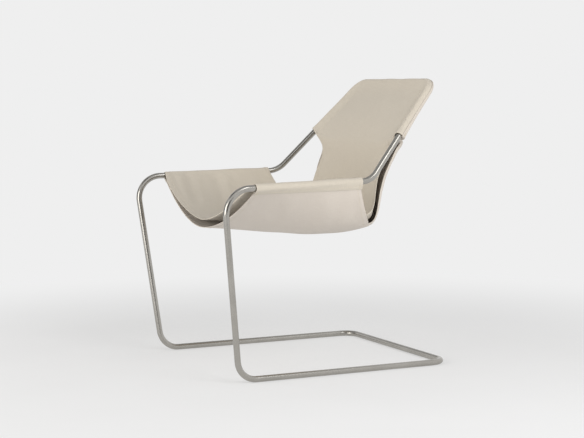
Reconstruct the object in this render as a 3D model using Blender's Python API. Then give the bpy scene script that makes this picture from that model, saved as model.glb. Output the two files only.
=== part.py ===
"""Sling lounge chair: one bent steel bar and a slip-on cloth cover, in metres, +Z up.

The sitter faces -Y and the chair is symmetric about X = 0. The origin is on the floor, in the middle of
the chair's depth. The sitter's left is +X. Every sheet and seam is worked out from the bar's centre line.
"""

import math

import bpy
import numpy as np

# The bar's centre line, given at the corner points of one half
BAR_DIAMETER = 0.018
BASE_HALF_WIDTH = 0.307
BASE_REAR_Y = 0.3685
BASE_FRONT_Y = -0.3125
ARM_FRONT_HALF_WIDTH = 0.3585
ARM_FRONT_Y = -0.3755
ARM_FRONT_Z = 0.555
ARM_REAR_HALF_WIDTH = 0.322
ARM_REAR_Y = 0.103
ARM_REAR_Z = 0.5635
TOP_HALF_WIDTH = 0.230
TOP_Y = 0.3650
TOP_Z = 0.849

# The radius of each bend, on the centre line
BASE_REAR_BEND = 0.047
BASE_FRONT_BEND = 0.061
ARM_FRONT_BEND = 0.071
ARM_REAR_BEND = 0.074
TOP_BEND = 0.053
WELD_WIDTH = 0.005

# The cloth, and the gap between pieces that touch
CLOTH_THICKNESS = 0.0015
CLEARANCE = 0.0003
HEM_WIDTH = 0.015

# Where the cover lies on the bar
SLEEVE_START = 0.096
SLEEVE_END_INSET = 0.002
POCKET_DEPTH = 0.219
CHANNEL_WIDTH = 0.032
LAP_LENGTH = 0.020
LAP_SEAM = 0.010
POCKET_LAP_FRONT_ANGLE = -60.0
POCKET_LAP_REAR_ANGLE = -8.0

# How far the seat hangs below the arms, and how the cover bends up into the back
MOUTH_DROP = 0.1123
MOUTH_REACH = 0.0193
SEAT_DROP = 0.1405
SEAT_REAR_RUN = 0.080
MOUTH_HANDLE = 0.165
MOUTH_SLOPE = 5.0
SEAT_HANDLE = 0.105
SEAT_RISE = 19.0
LUMBAR_FOOT_HANDLE = 0.096
LUMBAR_HEAD_HANDLE = 0.095
LUMBAR_LEAN = 18.0
LUMBAR_GIVE_RUN = 0.085
MOUTH_SHAPE_UPPER = 1.68
MOUTH_SHAPE_LOWER = 1.84
SEAT_REAR_SHAPE_UPPER = 5.5
SEAT_REAR_SHAPE_LOWER = 5.4
ROW_BEND_MOUTH_UPPER = 6.0
ROW_BEND_MOUTH_LOWER = 1.25
ROW_BEND_REAR = 1.2
ROW_BEND_WAIST = 2.4
ROW_BEND_BACK = 2.8
ROW_KNEE_SHARE = 0.66
KNEE_END_SHARE = 0.40

# The gap between the two layers along the middle of the cover
LAYER_GAP_MOUTH = 0.0241
LAYER_GAP_SEAT = 0.015
LAYER_GAP_LUMBAR = 0.010
PANEL_CROWN = 0.002

# The side notches, by the half width of what is left between them; the shares are of the notch's height
NOTCH_FOOT_HALF_WIDTH = 0.242
NOTCH_FOOT_HALF_WIDTH_UNDER = 0.228
WAIST_HALF_WIDTH = 0.200
WAIST_HALF_WIDTH_UNDER = 0.204
NOTCH_FOOT_SHARE = 0.75
NOTCH_UNDER_FOOT_SHARE = 0.55
NOTCH_FOOT_SHAPE = 1.3
NOTCH_FOOT_SHAPE_UNDER = 2.0
NOTCH_HEAD_SHARE = 0.52
NOTCH_UNDER_HEAD_SHARE = 0.45
NOTCH_HEAD_SHAPE = 3.0
NOTCH_HEAD_SHAPE_UNDER = 2.0

# How far the notches' edges hang behind the plane of the back at most, and the power by which the
# channel round the bar fades out down these edges
NOTCH_EDGE_SETBACK = 0.013
CHANNEL_FADE_SHAPE = 5.0

# Sewing thread and bar tacks
THREAD_DIAMETER = 0.0012
TACK_LENGTH = 0.012
TACK_WIDTH = 0.0026
TACK_THICKNESS = 0.0008

# Points nearer to X = 0 than this lie on the middle plane
ON_MIDDLE = 1e-6

# Facets
BAR_SIDES = 16
BEND_STEP = 12.0
ARC_STEPS = 5
THREAD_SIDES = 4
SEAT_ROWS = 8
WAIST_ROWS = 7
POCKET_ROWS = 3
WING_STEPS = 2

PANEL_COLUMNS = np.array([0.0, 0.18, 0.44, 0.69, 0.88])
VALLEY = len(PANEL_COLUMNS) - 1
COLUMNS = np.append(PANEL_COLUMNS, [0.94, 1.0])

BAR_RADIUS = BAR_DIAMETER / 2
BAR_CORNER_RADIUS = BAR_RADIUS / math.cos(math.pi / BAR_SIDES)
ACROSS = np.array([1.0, 0.0, 0.0])
UP = np.array([0.0, 0.0, 1.0])

CORNERS = np.array([
    (0.0, BASE_REAR_Y, BAR_RADIUS),
    (BASE_HALF_WIDTH, BASE_REAR_Y, BAR_RADIUS),
    (BASE_HALF_WIDTH, BASE_FRONT_Y, BAR_RADIUS),
    (ARM_FRONT_HALF_WIDTH, ARM_FRONT_Y, ARM_FRONT_Z),
    (ARM_REAR_HALF_WIDTH, ARM_REAR_Y, ARM_REAR_Z),
    (TOP_HALF_WIDTH, TOP_Y, TOP_Z),
    (0.0, TOP_Y, TOP_Z),
])
BENDS = [0.0, BASE_REAR_BEND, BASE_FRONT_BEND, ARM_FRONT_BEND, ARM_REAR_BEND, TOP_BEND, 0.0]
ARM_FRONT, ARM_REAR, TOP = 3, 4, 5


def unit(vector):
    """The vector at length one."""
    return vector / np.linalg.norm(vector)


def mix(first, second, share):
    """The value that lies a share of the way from first to second."""
    return first + (second - first) * share


def leg_direction(corner):
    """The direction of the straight run that leaves a corner."""
    return unit(CORNERS[corner + 1] - CORNERS[corner])


def bend_setback(corner):
    """How far before its corner point a bend begins."""
    turn = math.acos(np.clip(leg_direction(corner - 1) @ leg_direction(corner), -1.0, 1.0))
    return BENDS[corner] * math.tan(turn / 2), turn


def bend_point(corner, share):
    """A point and direction on a bend's arc, a share of the way round it."""
    before, after = leg_direction(corner - 1), leg_direction(corner)
    setback, turn = bend_setback(corner)
    inward = unit(after - before * (before @ after))
    start = CORNERS[corner] - before * setback
    angle = turn * share
    point = start + BENDS[corner] * (before * math.sin(angle) + inward * (1 - math.cos(angle)))
    return point, before * math.cos(angle) + inward * math.sin(angle)


def bend_steps(corner):
    """The number of facets along a bend."""
    return max(2, round(math.degrees(bend_setback(corner)[1]) / BEND_STEP))


def half_bar_line():
    """Points and directions along half the bar, from the middle of the base to the weld."""
    line = [(CORNERS[0], leg_direction(0))]
    for corner in range(1, len(CORNERS) - 1):
        steps = bend_steps(corner)
        line += [bend_point(corner, step / steps) for step in range(steps + 1)]
    weld_face = CORNERS[-1] + ACROSS * (WELD_WIDTH / 2)
    line.append((weld_face, leg_direction(len(CORNERS) - 2)))
    return line


def material(name, colour, roughness, metallic):
    """A plain material for one sub-part."""
    made = bpy.data.materials.new(name)
    made.use_nodes = True
    shader = made.node_tree.nodes["Principled BSDF"]
    shader.inputs["Base Color"].default_value = (*colour, 1.0)
    shader.inputs["Roughness"].default_value = roughness
    shader.inputs["Metallic"].default_value = metallic
    return made


def add_object(name, points, faces, made_of, mirrored=False, thickness=0.0):
    """A named object from points and faces, mirrored across X = 0 and thickened where asked."""
    mesh = bpy.data.meshes.new(name)
    mesh.from_pydata([tuple(point) for point in points], [], faces)
    mesh.materials.append(made_of)
    placed = bpy.data.objects.new(name, mesh)
    bpy.context.scene.collection.objects.link(placed)
    placed.parent = chair
    if mirrored:
        mirror = placed.modifiers.new("Mirror", "MIRROR")
        mirror.merge_threshold = 0.00005
    if thickness:
        solidify = placed.modifiers.new("Solidify", "SOLIDIFY")
        solidify.thickness = thickness
        solidify.offset = 0.0
        solidify.use_even_offset = True
    mesh.shade_smooth()
    mesh.set_sharp_from_angle(angle=math.radians(40))
    return placed


def tube_faces(rings, sides, open_start):
    """Faces of a tube of rings, capped at its end and, unless it is open, at its start."""
    faces = []
    for ring in range(rings - 1):
        for side in range(sides):
            here, there = ring * sides, (ring + 1) * sides
            ahead = (side + 1) % sides
            faces.append((here + side, here + ahead, there + ahead, there + side))
    if not open_start:
        faces.append(tuple(reversed(range(sides))))
    last = (rings - 1) * sides
    faces.append(tuple(range(last, last + sides)))
    return faces


def build_frame_bar(steel):
    """The bent bar: its section is carried along the centre line without twisting."""
    line = half_bar_line()
    normal = UP
    points = []
    for centre, along in line:
        normal = unit(normal - along * (normal @ along))
        aside = np.cross(normal, along)
        for side in range(BAR_SIDES):
            angle = 2 * math.pi * (side + 0.5) / BAR_SIDES
            outward = aside * math.cos(angle) + normal * math.sin(angle)
            points.append(centre + outward * BAR_CORNER_RADIUS)
    add_object("frame_bar", points, tube_faces(len(line), BAR_SIDES, True), steel, mirrored=True)


def build_butt_weld(steel):
    """The weld that closes the loop, ground flush with the bar."""
    points = []
    for end in (-1, 1):
        centre = CORNERS[-1] + ACROSS * end * (WELD_WIDTH / 2 - CLEARANCE)
        for side in range(BAR_SIDES):
            angle = 2 * math.pi * (side + 0.5) / BAR_SIDES
            outward = SLOPE * math.cos(angle) + FRONT * math.sin(angle)
            points.append(centre + outward * BAR_RADIUS)
    add_object("butt_weld", points, tube_faces(2, BAR_SIDES, False), steel)


# The plane of the back: up its slope, and out of its front
SLOPE = unit((CORNERS[TOP] - CORNERS[ARM_REAR]) * np.array([0.0, 1.0, 1.0]))
FRONT = np.cross(ACROSS, SLOPE)

# The radii of the cloth's middle where it is wrapped round the bar in flat facets
HALF_CLOTH = CLOTH_THICKNESS / 2
FACET_TURN = math.radians(180.0 / ARC_STEPS / 2)
FACET = math.cos(FACET_TURN)
WRAP = (BAR_CORNER_RADIUS + CLEARANCE + HALF_CLOTH) / FACET
OVERWRAP = (WRAP + HALF_CLOTH / FACET + CLEARANCE + HALF_CLOTH) / FACET
PLY = CLOTH_THICKNESS + CLEARANCE
LAP_START = HALF_CLOTH + math.sqrt(
    max(0.0, (BAR_CORNER_RADIUS + CLEARANCE) ** 2 - (WRAP - PLY - HALF_CLOTH) ** 2)
)
VALLEY_DEPTH = HALF_CLOTH + CLEARANCE


def bar_frame(along):
    """The two directions across the bar: outwards from the chair, and over the cloth's upper side."""
    over = unit(np.cross(ACROSS, along))
    return np.cross(along, over), over


def sleeve_station(share):
    """The bar's centre and directions at a share of the arm sleeve's length."""
    along = leg_direction(ARM_FRONT)
    run = np.linalg.norm(CORNERS[ARM_REAR] - CORNERS[ARM_FRONT])
    end = run - bend_setback(ARM_REAR)[0] - SLEEVE_END_INSET
    centre = CORNERS[ARM_FRONT] + along * mix(SLEEVE_START, end, share)
    return centre, *bar_frame(along)


def pocket_foot():
    """The bar's centre where the pocket's lower end grips the upright."""
    return CORNERS[TOP] - leg_direction(ARM_REAR) * POCKET_DEPTH


def waist_rim(share):
    """The bar's centre beside the notch, from the sleeve's end up to the pocket's foot."""
    sleeve_end = sleeve_station(1.0)[0]
    foot = pocket_foot()
    arc = BENDS[ARM_REAR] * bend_setback(ARM_REAR)[1]
    upright_start = bend_point(ARM_REAR, 1.0)[0]
    total = SLEEVE_END_INSET + arc + np.linalg.norm(foot - upright_start)
    walked = share * total
    if walked < SLEEVE_END_INSET:
        return sleeve_end + leg_direction(ARM_FRONT) * walked
    if walked < SLEEVE_END_INSET + arc:
        return bend_point(ARM_REAR, (walked - SLEEVE_END_INSET) / arc)[0]
    return upright_start + leg_direction(ARM_REAR) * (walked - SLEEVE_END_INSET - arc)


def bezier(handles, share):
    """A point and the normal of a cubic curve in the plane X = 0, the normal on its upper side."""
    first, second, third, fourth = handles
    rest = 1 - share
    point = rest ** 3 * first + 3 * rest ** 2 * share * second
    point = point + 3 * rest * share ** 2 * third + share ** 3 * fourth
    run = rest ** 2 * (second - first) + 2 * rest * share * (third - second)
    run = run + share ** 2 * (fourth - third)
    return point, unit(np.cross(ACROSS, run))


def slanted(degrees):
    """The direction towards +Y that rises by an angle."""
    return np.array([0.0, math.cos(math.radians(degrees)), math.sin(math.radians(degrees))])


def seat_handles():
    """The middle of the seat, from the mouth to where the notches begin."""
    front, rear = sleeve_station(0.0)[0], sleeve_station(1.0)[0]
    mouth = np.array([0.0, front[1] - MOUTH_REACH, front[2] - MOUTH_DROP])
    end = np.array([0.0, rear[1] + SEAT_REAR_RUN, rear[2] - SEAT_DROP])
    return mouth, mouth + slanted(-MOUTH_SLOPE) * MOUTH_HANDLE, end - slanted(SEAT_RISE) * SEAT_HANDLE, end


def waist_handles():
    """The middle of the lower back, from the seat's rear to the pocket's foot."""
    start = seat_handles()[3]
    foot = pocket_foot() * np.array([0.0, 1.0, 1.0]) + FRONT * (VALLEY_DEPTH + PANEL_CROWN)
    lean = slanted(90.0 - LUMBAR_LEAN)
    return start, start + slanted(SEAT_RISE) * LUMBAR_FOOT_HANDLE, foot - lean * LUMBAR_HEAD_HANDLE, foot


def seat_middle(share, upper):
    """The middle point of a seat row, on the upper layer or on the layer below it."""
    point, normal = bezier(seat_handles(), share)
    gap = 0.0 if upper else mix(LAYER_GAP_MOUTH, LAYER_GAP_SEAT, share)
    return point - normal * gap


def layer_bulge(share):
    """How far the rear layer stands off behind the notches, most where it hangs from the pocket."""
    return LAYER_GAP_LUMBAR * 4 * share ** 2 * (1 - share)


def edge_setback(share):
    """How far a notch's edge hangs behind the plane of the back, most above half way up."""
    return NOTCH_EDGE_SETBACK * share ** 3 * (1 - share) ** 2 / (0.6 ** 3 * 0.4 ** 2)


def lumbar_give(distance, share):
    """How far the back gives near the pocket's foot, so that it bends over a length and not at a line."""
    turn = math.atan2(SLOPE[1], SLOPE[2]) - math.radians(LUMBAR_LEAN)
    left = max(0.0, LUMBAR_GIVE_RUN - distance)
    return -FRONT * turn / (4 * LUMBAR_GIVE_RUN) * left ** 2 * (1 - share ** 6)


def waist_middle(share, upper):
    """The middle point of a row of the lower back, on the front layer or the layer behind it."""
    point, normal = bezier(waist_handles(), share)
    if upper:
        return point
    closed = 2 * (VALLEY_DEPTH + PANEL_CROWN)
    gap = mix(LAYER_GAP_SEAT, closed, share ** 2) + layer_bulge(share)
    return point - normal * gap


def row_point(middle, rim, share, knee, bend, shape):
    """A point of a row that leaves the middle level, rises to the rim and bends forward from a knee on."""
    y = mix(middle[1], rim[1], max(0.0, (share - knee) / (1 - knee)) ** bend)
    z = mix(middle[2], rim[2], share ** shape)
    return np.array([rim[0] * share, y, z])


def seat_shape(share, upper):
    """The knee of a seat row, and the powers by which it bends forward and rises towards the arm."""
    late = share ** 2
    bend = mix(ROW_BEND_MOUTH_UPPER if upper else ROW_BEND_MOUTH_LOWER, ROW_BEND_REAR, late)
    mouth = MOUTH_SHAPE_UPPER if upper else MOUTH_SHAPE_LOWER
    rear = SEAT_REAR_SHAPE_UPPER if upper else SEAT_REAR_SHAPE_LOWER
    return ROW_KNEE_SHARE * late, bend, mix(mouth, rear, late)


def waist_shape(share, upper):
    """The same for a row of the lower back, where the knee goes away."""
    late = min(1.0, share / KNEE_END_SHARE) ** 1.5
    rear = SEAT_REAR_SHAPE_UPPER if upper else SEAT_REAR_SHAPE_LOWER
    knee = ROW_KNEE_SHARE * (1 - late)
    return knee, mix(ROW_BEND_REAR, ROW_BEND_WAIST, late), mix(rear, ROW_BEND_BACK, share)


def lower_rim(share):
    """The lower layer's seat row where it slips under the lap, and the angle of its wall there."""
    centre, outward, over = sleeve_station(share)
    middle = seat_middle(share, False)
    rise = seat_shape(share, False)[2]
    angle = math.radians(45)
    for _ in range(12):
        down = -outward * math.cos(angle) - over * math.sin(angle)
        side = outward * math.sin(angle) - over * math.cos(angle)
        rim = centre + side * (WRAP - PLY) + down * LAP_LENGTH
        angle = math.atan(rise * (rim[2] - middle[2]) / rim[0])
    return rim, angle, down


def upper_rim(share):
    """The upper layer's seat row where it meets the bar's sleeve, and its angle round the bar there."""
    centre, outward, over = sleeve_station(share)
    middle = seat_middle(share, True)
    rise = seat_shape(share, True)[2]
    angle = math.radians(120)
    for _ in range(12):
        rim = centre + (outward * math.cos(angle) + over * math.sin(angle)) * WRAP
        angle = math.pi / 2 + math.atan(rise * (rim[2] - middle[2]) / rim[0])
    return rim, angle


def notch_foot(upper):
    """The half width left between the notches at their foot."""
    return NOTCH_FOOT_HALF_WIDTH if upper else NOTCH_FOOT_HALF_WIDTH_UNDER


def notch_share(share, rim_x, upper):
    """The notch's edge as a share of the way from the middle to the bar."""
    waist = (WAIST_HALF_WIDTH if upper else WAIST_HALF_WIDTH_UNDER) / rim_x
    foot = notch_foot(upper) / rim_x
    foot_end = NOTCH_FOOT_SHARE if upper else NOTCH_UNDER_FOOT_SHARE
    shape = NOTCH_FOOT_SHAPE if upper else NOTCH_FOOT_SHAPE_UNDER
    head = NOTCH_HEAD_SHARE if upper else NOTCH_UNDER_HEAD_SHARE
    head_shape = NOTCH_HEAD_SHAPE if upper else NOTCH_HEAD_SHAPE_UNDER
    low = max(0.0, 1 - share / foot_end)
    high = max(0.0, (share - head) / (1 - head))
    return waist + (foot - waist) * low ** shape + (1 - waist) * high ** head_shape


def channel_height(inboard, wrap):
    """The height of the channel's slope over its valley, where it rises to the bar."""
    reach = CHANNEL_WIDTH - inboard
    tangent = math.sqrt(CHANNEL_WIDTH ** 2 - wrap ** 2)
    return max(0.0, reach) * wrap / tangent


class Sheet:
    """Half of a layer of cloth, as the points and faces of its middle surface."""

    def __init__(self):
        self.points = []
        self.faces = []

    def add(self, points):
        """Adds a row of points and gives their numbers."""
        first = len(self.points)
        self.points += list(points)
        return list(range(first, len(self.points)))

    def join(self, rows):
        """Joins neighbouring rows of as many points with faces."""
        for here, there in zip(rows, rows[1:]):
            for step in range(len(here) - 1):
                self.faces.append((here[step], here[step + 1], there[step + 1], there[step]))

    def normals(self):
        """The normal at each point, level across the middle of the chair."""
        total = np.zeros((len(self.points), 3))
        points = np.array(self.points)
        for face in self.faces:
            a, b, c, d = points[list(face)]
            total[list(face)] += unit(np.cross(c - a, d - b))
        total[np.abs(points[:, 0]) < ON_MIDDLE, 0] = 0.0
        return total / np.linalg.norm(total, axis=1)[:, None]


def hem_shares(count, run):
    """Row positions with one row a hem's width inside each end."""
    hem = HEM_WIDTH / run
    return np.concatenate([[0.0], np.linspace(hem, 1 - hem, count - 1), [1.0]])


def seat_rows(sheet, upper):
    """The seat of one layer: its rows from the mouth back, and the wings that reach the arms."""
    run = np.linalg.norm(sleeve_station(1.0)[0] - sleeve_station(0.0)[0])
    rows, wings = [], []
    for share in hem_shares(SEAT_ROWS, run):
        centre, outward, over = sleeve_station(share)
        low_rim, wall, down = lower_rim(share)
        rim, start = upper_rim(share)
        target = rim if upper else low_rim
        middle = seat_middle(share, upper)
        shape = seat_shape(share, upper)
        edge = notch_foot(upper) / (upper_rim(1.0) if upper else lower_rim(1.0))[0][0]
        rows.append(sheet.add(row_point(middle, target, edge * c, *shape) for c in COLUMNS))
        steps = np.linspace(edge, 1.0, WING_STEPS + 1)[1:]
        wing = [row_point(middle, target, c, *shape) for c in steps]
        if upper:
            end = wall - math.pi / 2
            for angle in np.linspace(start, end, ARC_STEPS + 1)[1:]:
                wing.append(centre + (outward * math.cos(angle) + over * math.sin(angle)) * WRAP)
            tangent = wing[-1]
            wing += [tangent + down * LAP_SEAM, tangent + down * LAP_LENGTH]
        else:
            wing.append(low_rim - down * (LAP_LENGTH - LAP_START))
        wings.append([rows[-1][-1]] + sheet.add(wing))
    sheet.join(rows)
    sheet.join(wings)
    return rows, wings


def waist_rows(sheet, upper):
    """The lower back of one layer, between the side notches."""
    rows = []
    side = 1.0 if upper else -1.0
    wrap = WRAP if upper else OVERWRAP
    for share in np.linspace(0.0, 1.0, WAIST_ROWS + 1)[1:-1]:
        behind = edge_setback(share) + (0.0 if upper else layer_bulge(share))
        rim = waist_rim(share) + FRONT * (side * VALLEY_DEPTH * share - behind)
        middle = waist_middle(share, upper)
        to_foot = np.linalg.norm(waist_middle(1.0, upper) - middle)
        edge = notch_share(share, rim[0], upper)
        shape = waist_shape(share, upper)
        row = []
        for column in COLUMNS:
            point = row_point(middle, rim, edge * column, *shape)
            inboard = CHANNEL_WIDTH * (1 - column) / (1 - PANEL_COLUMNS[-1])
            raised = channel_height(inboard, wrap) * share ** CHANNEL_FADE_SHAPE
            row.append(point + FRONT * side * raised + lumbar_give(to_foot, edge * column))
        rows.append(sheet.add(row))
    return rows


def pocket_rim():
    """The bar's centre and outward direction round the pocket, from its foot to the top's middle."""
    outward = bar_frame(leg_direction(ARM_REAR))[0]
    foot = pocket_foot()
    bend_start = bend_point(TOP, 0.0)[0]
    rim = [(mix(foot, bend_start, step / POCKET_ROWS), outward) for step in range(POCKET_ROWS)]
    steps = bend_steps(TOP)
    for step in range(steps + 1):
        point, along = bend_point(TOP, step / steps)
        rim.append((point, np.cross(along, FRONT)))
    return rim


def pocket_rows(sheet, upper):
    """The pocket's side of one layer: a crowned panel, and the channel that it forms round the bar."""
    side = 1.0 if upper else -1.0
    wrap = WRAP if upper else OVERWRAP
    lean = math.asin(wrap / CHANNEL_WIDTH)
    start = math.pi / 2 + lean
    end = math.radians(POCKET_LAP_FRONT_ANGLE if upper else -POCKET_LAP_REAR_ANGLE)
    angles = np.linspace(start, end, ARC_STEPS + 1)

    def strip(centre, outward):
        """The channel's points across the bar, outwards from the valley."""
        tangent = centre + (outward * math.cos(start) + FRONT * side * math.sin(start)) * wrap
        valley = centre - outward * CHANNEL_WIDTH + FRONT * side * VALLEY_DEPTH
        points = [mix(valley, tangent, 0.5)]
        for angle in angles:
            around = outward * math.cos(angle) + FRONT * side * math.sin(angle)
            points.append(centre + around * wrap)
        return valley, points

    rows, bands = [], []
    for centre, outward in pocket_rim():
        valley, points = strip(centre, outward)
        row = []
        for c in PANEL_COLUMNS / PANEL_COLUMNS[-1]:
            crown = FRONT * side * PANEL_CROWN * (1 - c ** ROW_BEND_BACK)
            give = lumbar_give(np.linalg.norm(centre - pocket_foot()), c)
            row.append(valley * np.array([c, 1.0, 1.0]) + crown + give)
        rows.append(sheet.add(row))
        bands.append([rows[-1][-1]] + sheet.add(points))
    straight_half = sheet.points[rows[-1][-1]][0]
    for column in range(VALLEY - 1, -1, -1):
        x = PANEL_COLUMNS[column] / PANEL_COLUMNS[-1] * straight_half
        centre = np.array([x, TOP_Y, TOP_Z])
        bands.append([rows[-1][column]] + sheet.add(strip(centre, SLOPE)[1]))
    sheet.join(rows)
    sheet.join(bands)
    return rows, bands


def build_layer(name, upper, cloth):
    """One layer of the cover, from the seat's mouth to the lap on the bar at the top."""
    sheet = Sheet()
    seat, wings = seat_rows(sheet, upper)
    waist = waist_rows(sheet, upper)
    panel, bands = pocket_rows(sheet, upper)
    foot_row = panel[0] + bands[0][1:3]
    sheet.join([seat[-1]] + waist + [foot_row])
    add_object(name, sheet.points, sheet.faces, cloth, mirrored=True, thickness=CLOTH_THICKNESS)
    return sheet, seat, wings, waist, bands


def build_thread(name, sheet, numbers, shown, thread, hand=0):
    """A row of stitches as one thread that lies on the cloth along given points of its grid."""
    normals = sheet.normals()[numbers]
    line = np.array(sheet.points)[numbers]
    normals = normals * np.sign(np.sum(normals * shown, axis=1))[:, None]
    lift = HALF_CLOTH / FACET + CLEARANCE + THREAD_DIAMETER / 2
    line = line + normals * lift
    along = np.gradient(line, axis=0)
    points = []
    for centre, normal, run in zip(line, normals, along):
        if abs(centre[0]) < ON_MIDDLE:
            run = run * ACROSS
        run = unit(run)
        aside = unit(np.cross(normal, run))
        over = np.cross(run, aside)
        for side in range(THREAD_SIDES):
            angle = 2 * math.pi * (side + 0.5) / THREAD_SIDES
            points.append(centre + (aside * math.cos(angle) + over * math.sin(angle)) * THREAD_DIAMETER / 2)
    faces = tube_faces(len(line), THREAD_SIDES, hand == 0)
    if hand < 0:
        points = [point * np.array([-1.0, 1.0, 1.0]) for point in points]
        faces = [tuple(reversed(face)) for face in faces]
    add_object(name, points, faces, thread, mirrored=hand == 0)


def build_tack(name, corner, ahead, aside, shown, lengths, thread, hand):
    """A bar tack: a flat block of stitches on the facet that a corner point and two edges give."""
    centre = corner + (ahead + aside) / 2
    normal = unit(np.cross(ahead, aside))
    normal = normal * np.sign(normal @ shown)
    first = unit(ahead)
    second = np.cross(normal, first)
    base = centre + normal * (HALF_CLOTH + CLEARANCE)
    points = []
    for height in (0.0, TACK_THICKNESS):
        for one, two in ((-1, -1), (1, -1), (1, 1), (-1, 1)):
            flat = first * one * lengths[0] / 2 + second * two * lengths[1] / 2
            points.append((base + flat + normal * height) * np.array([hand, 1.0, 1.0]))
    faces = tube_faces(2, 4, False)
    if hand < 0:
        faces = [tuple(reversed(face)) for face in faces]
    add_object(name, points, faces, thread)


for existing in list(bpy.data.objects):
    bpy.data.objects.remove(existing)
chair = bpy.data.objects.new("chair", None)
bpy.context.scene.collection.objects.link(chair)

build_frame_bar(material("satin_stainless_bar", (0.50, 0.49, 0.47), 0.32, 1.0))
build_butt_weld(material("ground_weld", (0.45, 0.44, 0.43), 0.45, 1.0))

upper_layer = build_layer("seat_back_panel", True, material("canvas_front", (0.56, 0.50, 0.40), 0.9, 0.0))
lower_layer = build_layer("underside_panel", False, material("canvas_rear", (0.60, 0.54, 0.46), 0.9, 0.0))
thread_material = material("sewing_thread", (0.66, 0.61, 0.53), 0.8, 0.0)

front_sheet, front_seat, front_wings, front_waist, front_bands = upper_layer
rear_sheet, rear_seat, rear_wings, rear_waist, rear_bands = lower_layer

# Every hem, lap and pocket edge has its seam on the line of the grid next to the edge
lap_seam = [wing[-2] for wing in front_wings[1:-1]]
pocket_line = [band[-2] for band in rear_bands]
front_notch = [row[-2] for row in front_waist]
rear_notch = [row[-2] for row in rear_waist]

build_thread("mouth_stitch_upper", front_sheet, front_seat[1] + front_wings[1][1:WING_STEPS + 1], UP,
             thread_material)
build_thread("mouth_stitch_lower", rear_sheet, rear_seat[1] + rear_wings[1][1:WING_STEPS], -UP,
             thread_material)
build_thread("channel_seam", front_sheet, [band[0] for band in front_bands[1:]][::-1], FRONT,
             thread_material)
pocket_side = rear_sheet.points[pocket_line[2]] - pocket_rim()[2][0]
build_thread("pocket_seam", rear_sheet, pocket_line[:0:-1], pocket_side, thread_material)

for hand, side_name in ((1, "left"), (-1, "right")):
    build_thread("arm_seam_" + side_name, front_sheet, lap_seam, ACROSS, thread_material, hand)
    build_thread("notch_stitch_seat_" + side_name, front_sheet, front_notch, FRONT, thread_material, hand)
    build_thread("notch_stitch_under_" + side_name, rear_sheet, rear_notch, -FRONT, thread_material, hand)
    for place, pair in (("front", front_wings[:2]), ("rear", front_wings[:-3:-1])):
        lap_top, lap_edge = (front_sheet.points[pair[0][step]] for step in (-3, -1))
        build_tack(f"arm_{place}_tack_{side_name}", lap_top, lap_edge - lap_top,
                   front_sheet.points[pair[1][-3]] - lap_top, ACROSS, (TACK_LENGTH, TACK_WIDTH),
                   thread_material, hand)
    seam, ahead = (rear_sheet.points[number] for number in pocket_line[:2])
    beside = rear_sheet.points[rear_bands[0][-3]]
    build_tack("pocket_tack_" + side_name, seam, ahead - seam, beside - seam, ACROSS,
               (TACK_LENGTH, TACK_WIDTH), thread_material, hand)
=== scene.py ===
"""Sling lounge chair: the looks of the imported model, in metres.

+Z is up, the sitter faces -Y and +X is the sitter's left. The chair is one bent stainless bar in a slip-on
canvas cover of two layers, which are sewn together along the arms and round the pocket at the top.
"""

import logging
import math
from dataclasses import dataclass, field
from enum import Enum
from typing import NamedTuple

import bpy
import numpy as np
from mathutils import Matrix


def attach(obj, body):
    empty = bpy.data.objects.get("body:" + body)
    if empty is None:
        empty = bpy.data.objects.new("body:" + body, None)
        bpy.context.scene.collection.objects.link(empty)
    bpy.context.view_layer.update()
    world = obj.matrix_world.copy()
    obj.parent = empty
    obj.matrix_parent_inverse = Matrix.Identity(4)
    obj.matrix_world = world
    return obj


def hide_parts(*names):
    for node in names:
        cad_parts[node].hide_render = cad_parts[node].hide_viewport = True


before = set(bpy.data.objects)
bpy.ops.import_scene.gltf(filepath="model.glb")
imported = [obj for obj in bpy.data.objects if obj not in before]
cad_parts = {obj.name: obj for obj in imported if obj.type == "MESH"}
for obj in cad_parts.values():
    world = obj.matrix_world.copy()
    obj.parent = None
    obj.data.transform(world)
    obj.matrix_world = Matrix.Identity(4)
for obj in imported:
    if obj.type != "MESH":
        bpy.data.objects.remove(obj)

Array = np.ndarray
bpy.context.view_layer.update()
LOG = logging.getLogger("sling_chair")
ACROSS = np.array([1.0, 0.0, 0.0])
UP = np.array([0.0, 0.0, 1.0])
OTHER_SIDE = np.array([-1.0, 1.0, 1.0])
IN_MIDDLE = np.array([0.0, 1.0, 1.0])
# A distance that is too large for an edge or a seam to matter.
FAR = 1.0
# How far from a hemmed edge the cloth's points lie: close at the edge and at the stitches.
HEM_STEPS = np.array([0.0, 0.0004, 0.0011, 0.0025, 0.005, 0.008, 0.0105, 0.0115, 0.012, 0.0125, 0.0135,
                      0.015, 0.018])
# How far round the pocket's bar the cloth's points lie, as shares: close at the cloth's end.
ARC_SHARES = np.concatenate([np.linspace(0.0, 1.0, 24)[1:-3], [0.955, 0.98, 0.993, 1.0]])
# How far down the sleeve's lap its points lie: close at the stitches and at the edge.
LAP_STEPS = np.array([0.002, 0.004, 0.006, 0.008, 0.009, 0.0096, 0.010, 0.0104, 0.011, 0.012, 0.014, 0.016,
                      0.018, 0.0192, 0.0197, 0.020])


class Layer(Enum):
    """The cover's two layers: the one that is sat on, and the one behind and below it."""

    FRONT = 1.0
    REAR = -1.0


class Wave(NamedTuple):
    """One sine wave of a ripple: its height and length in metres, and its phase."""

    height: float
    length: float
    phase: float


def unit(vectors: Array) -> Array:
    """Vectors at length one along the last axis."""
    return vectors / np.linalg.norm(vectors, axis=-1, keepdims=True)


def mix(first: Array, second: Array, share: Array) -> Array:
    """The values that lie a share of the way from first to second."""
    return first + (second - first) * share


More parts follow.
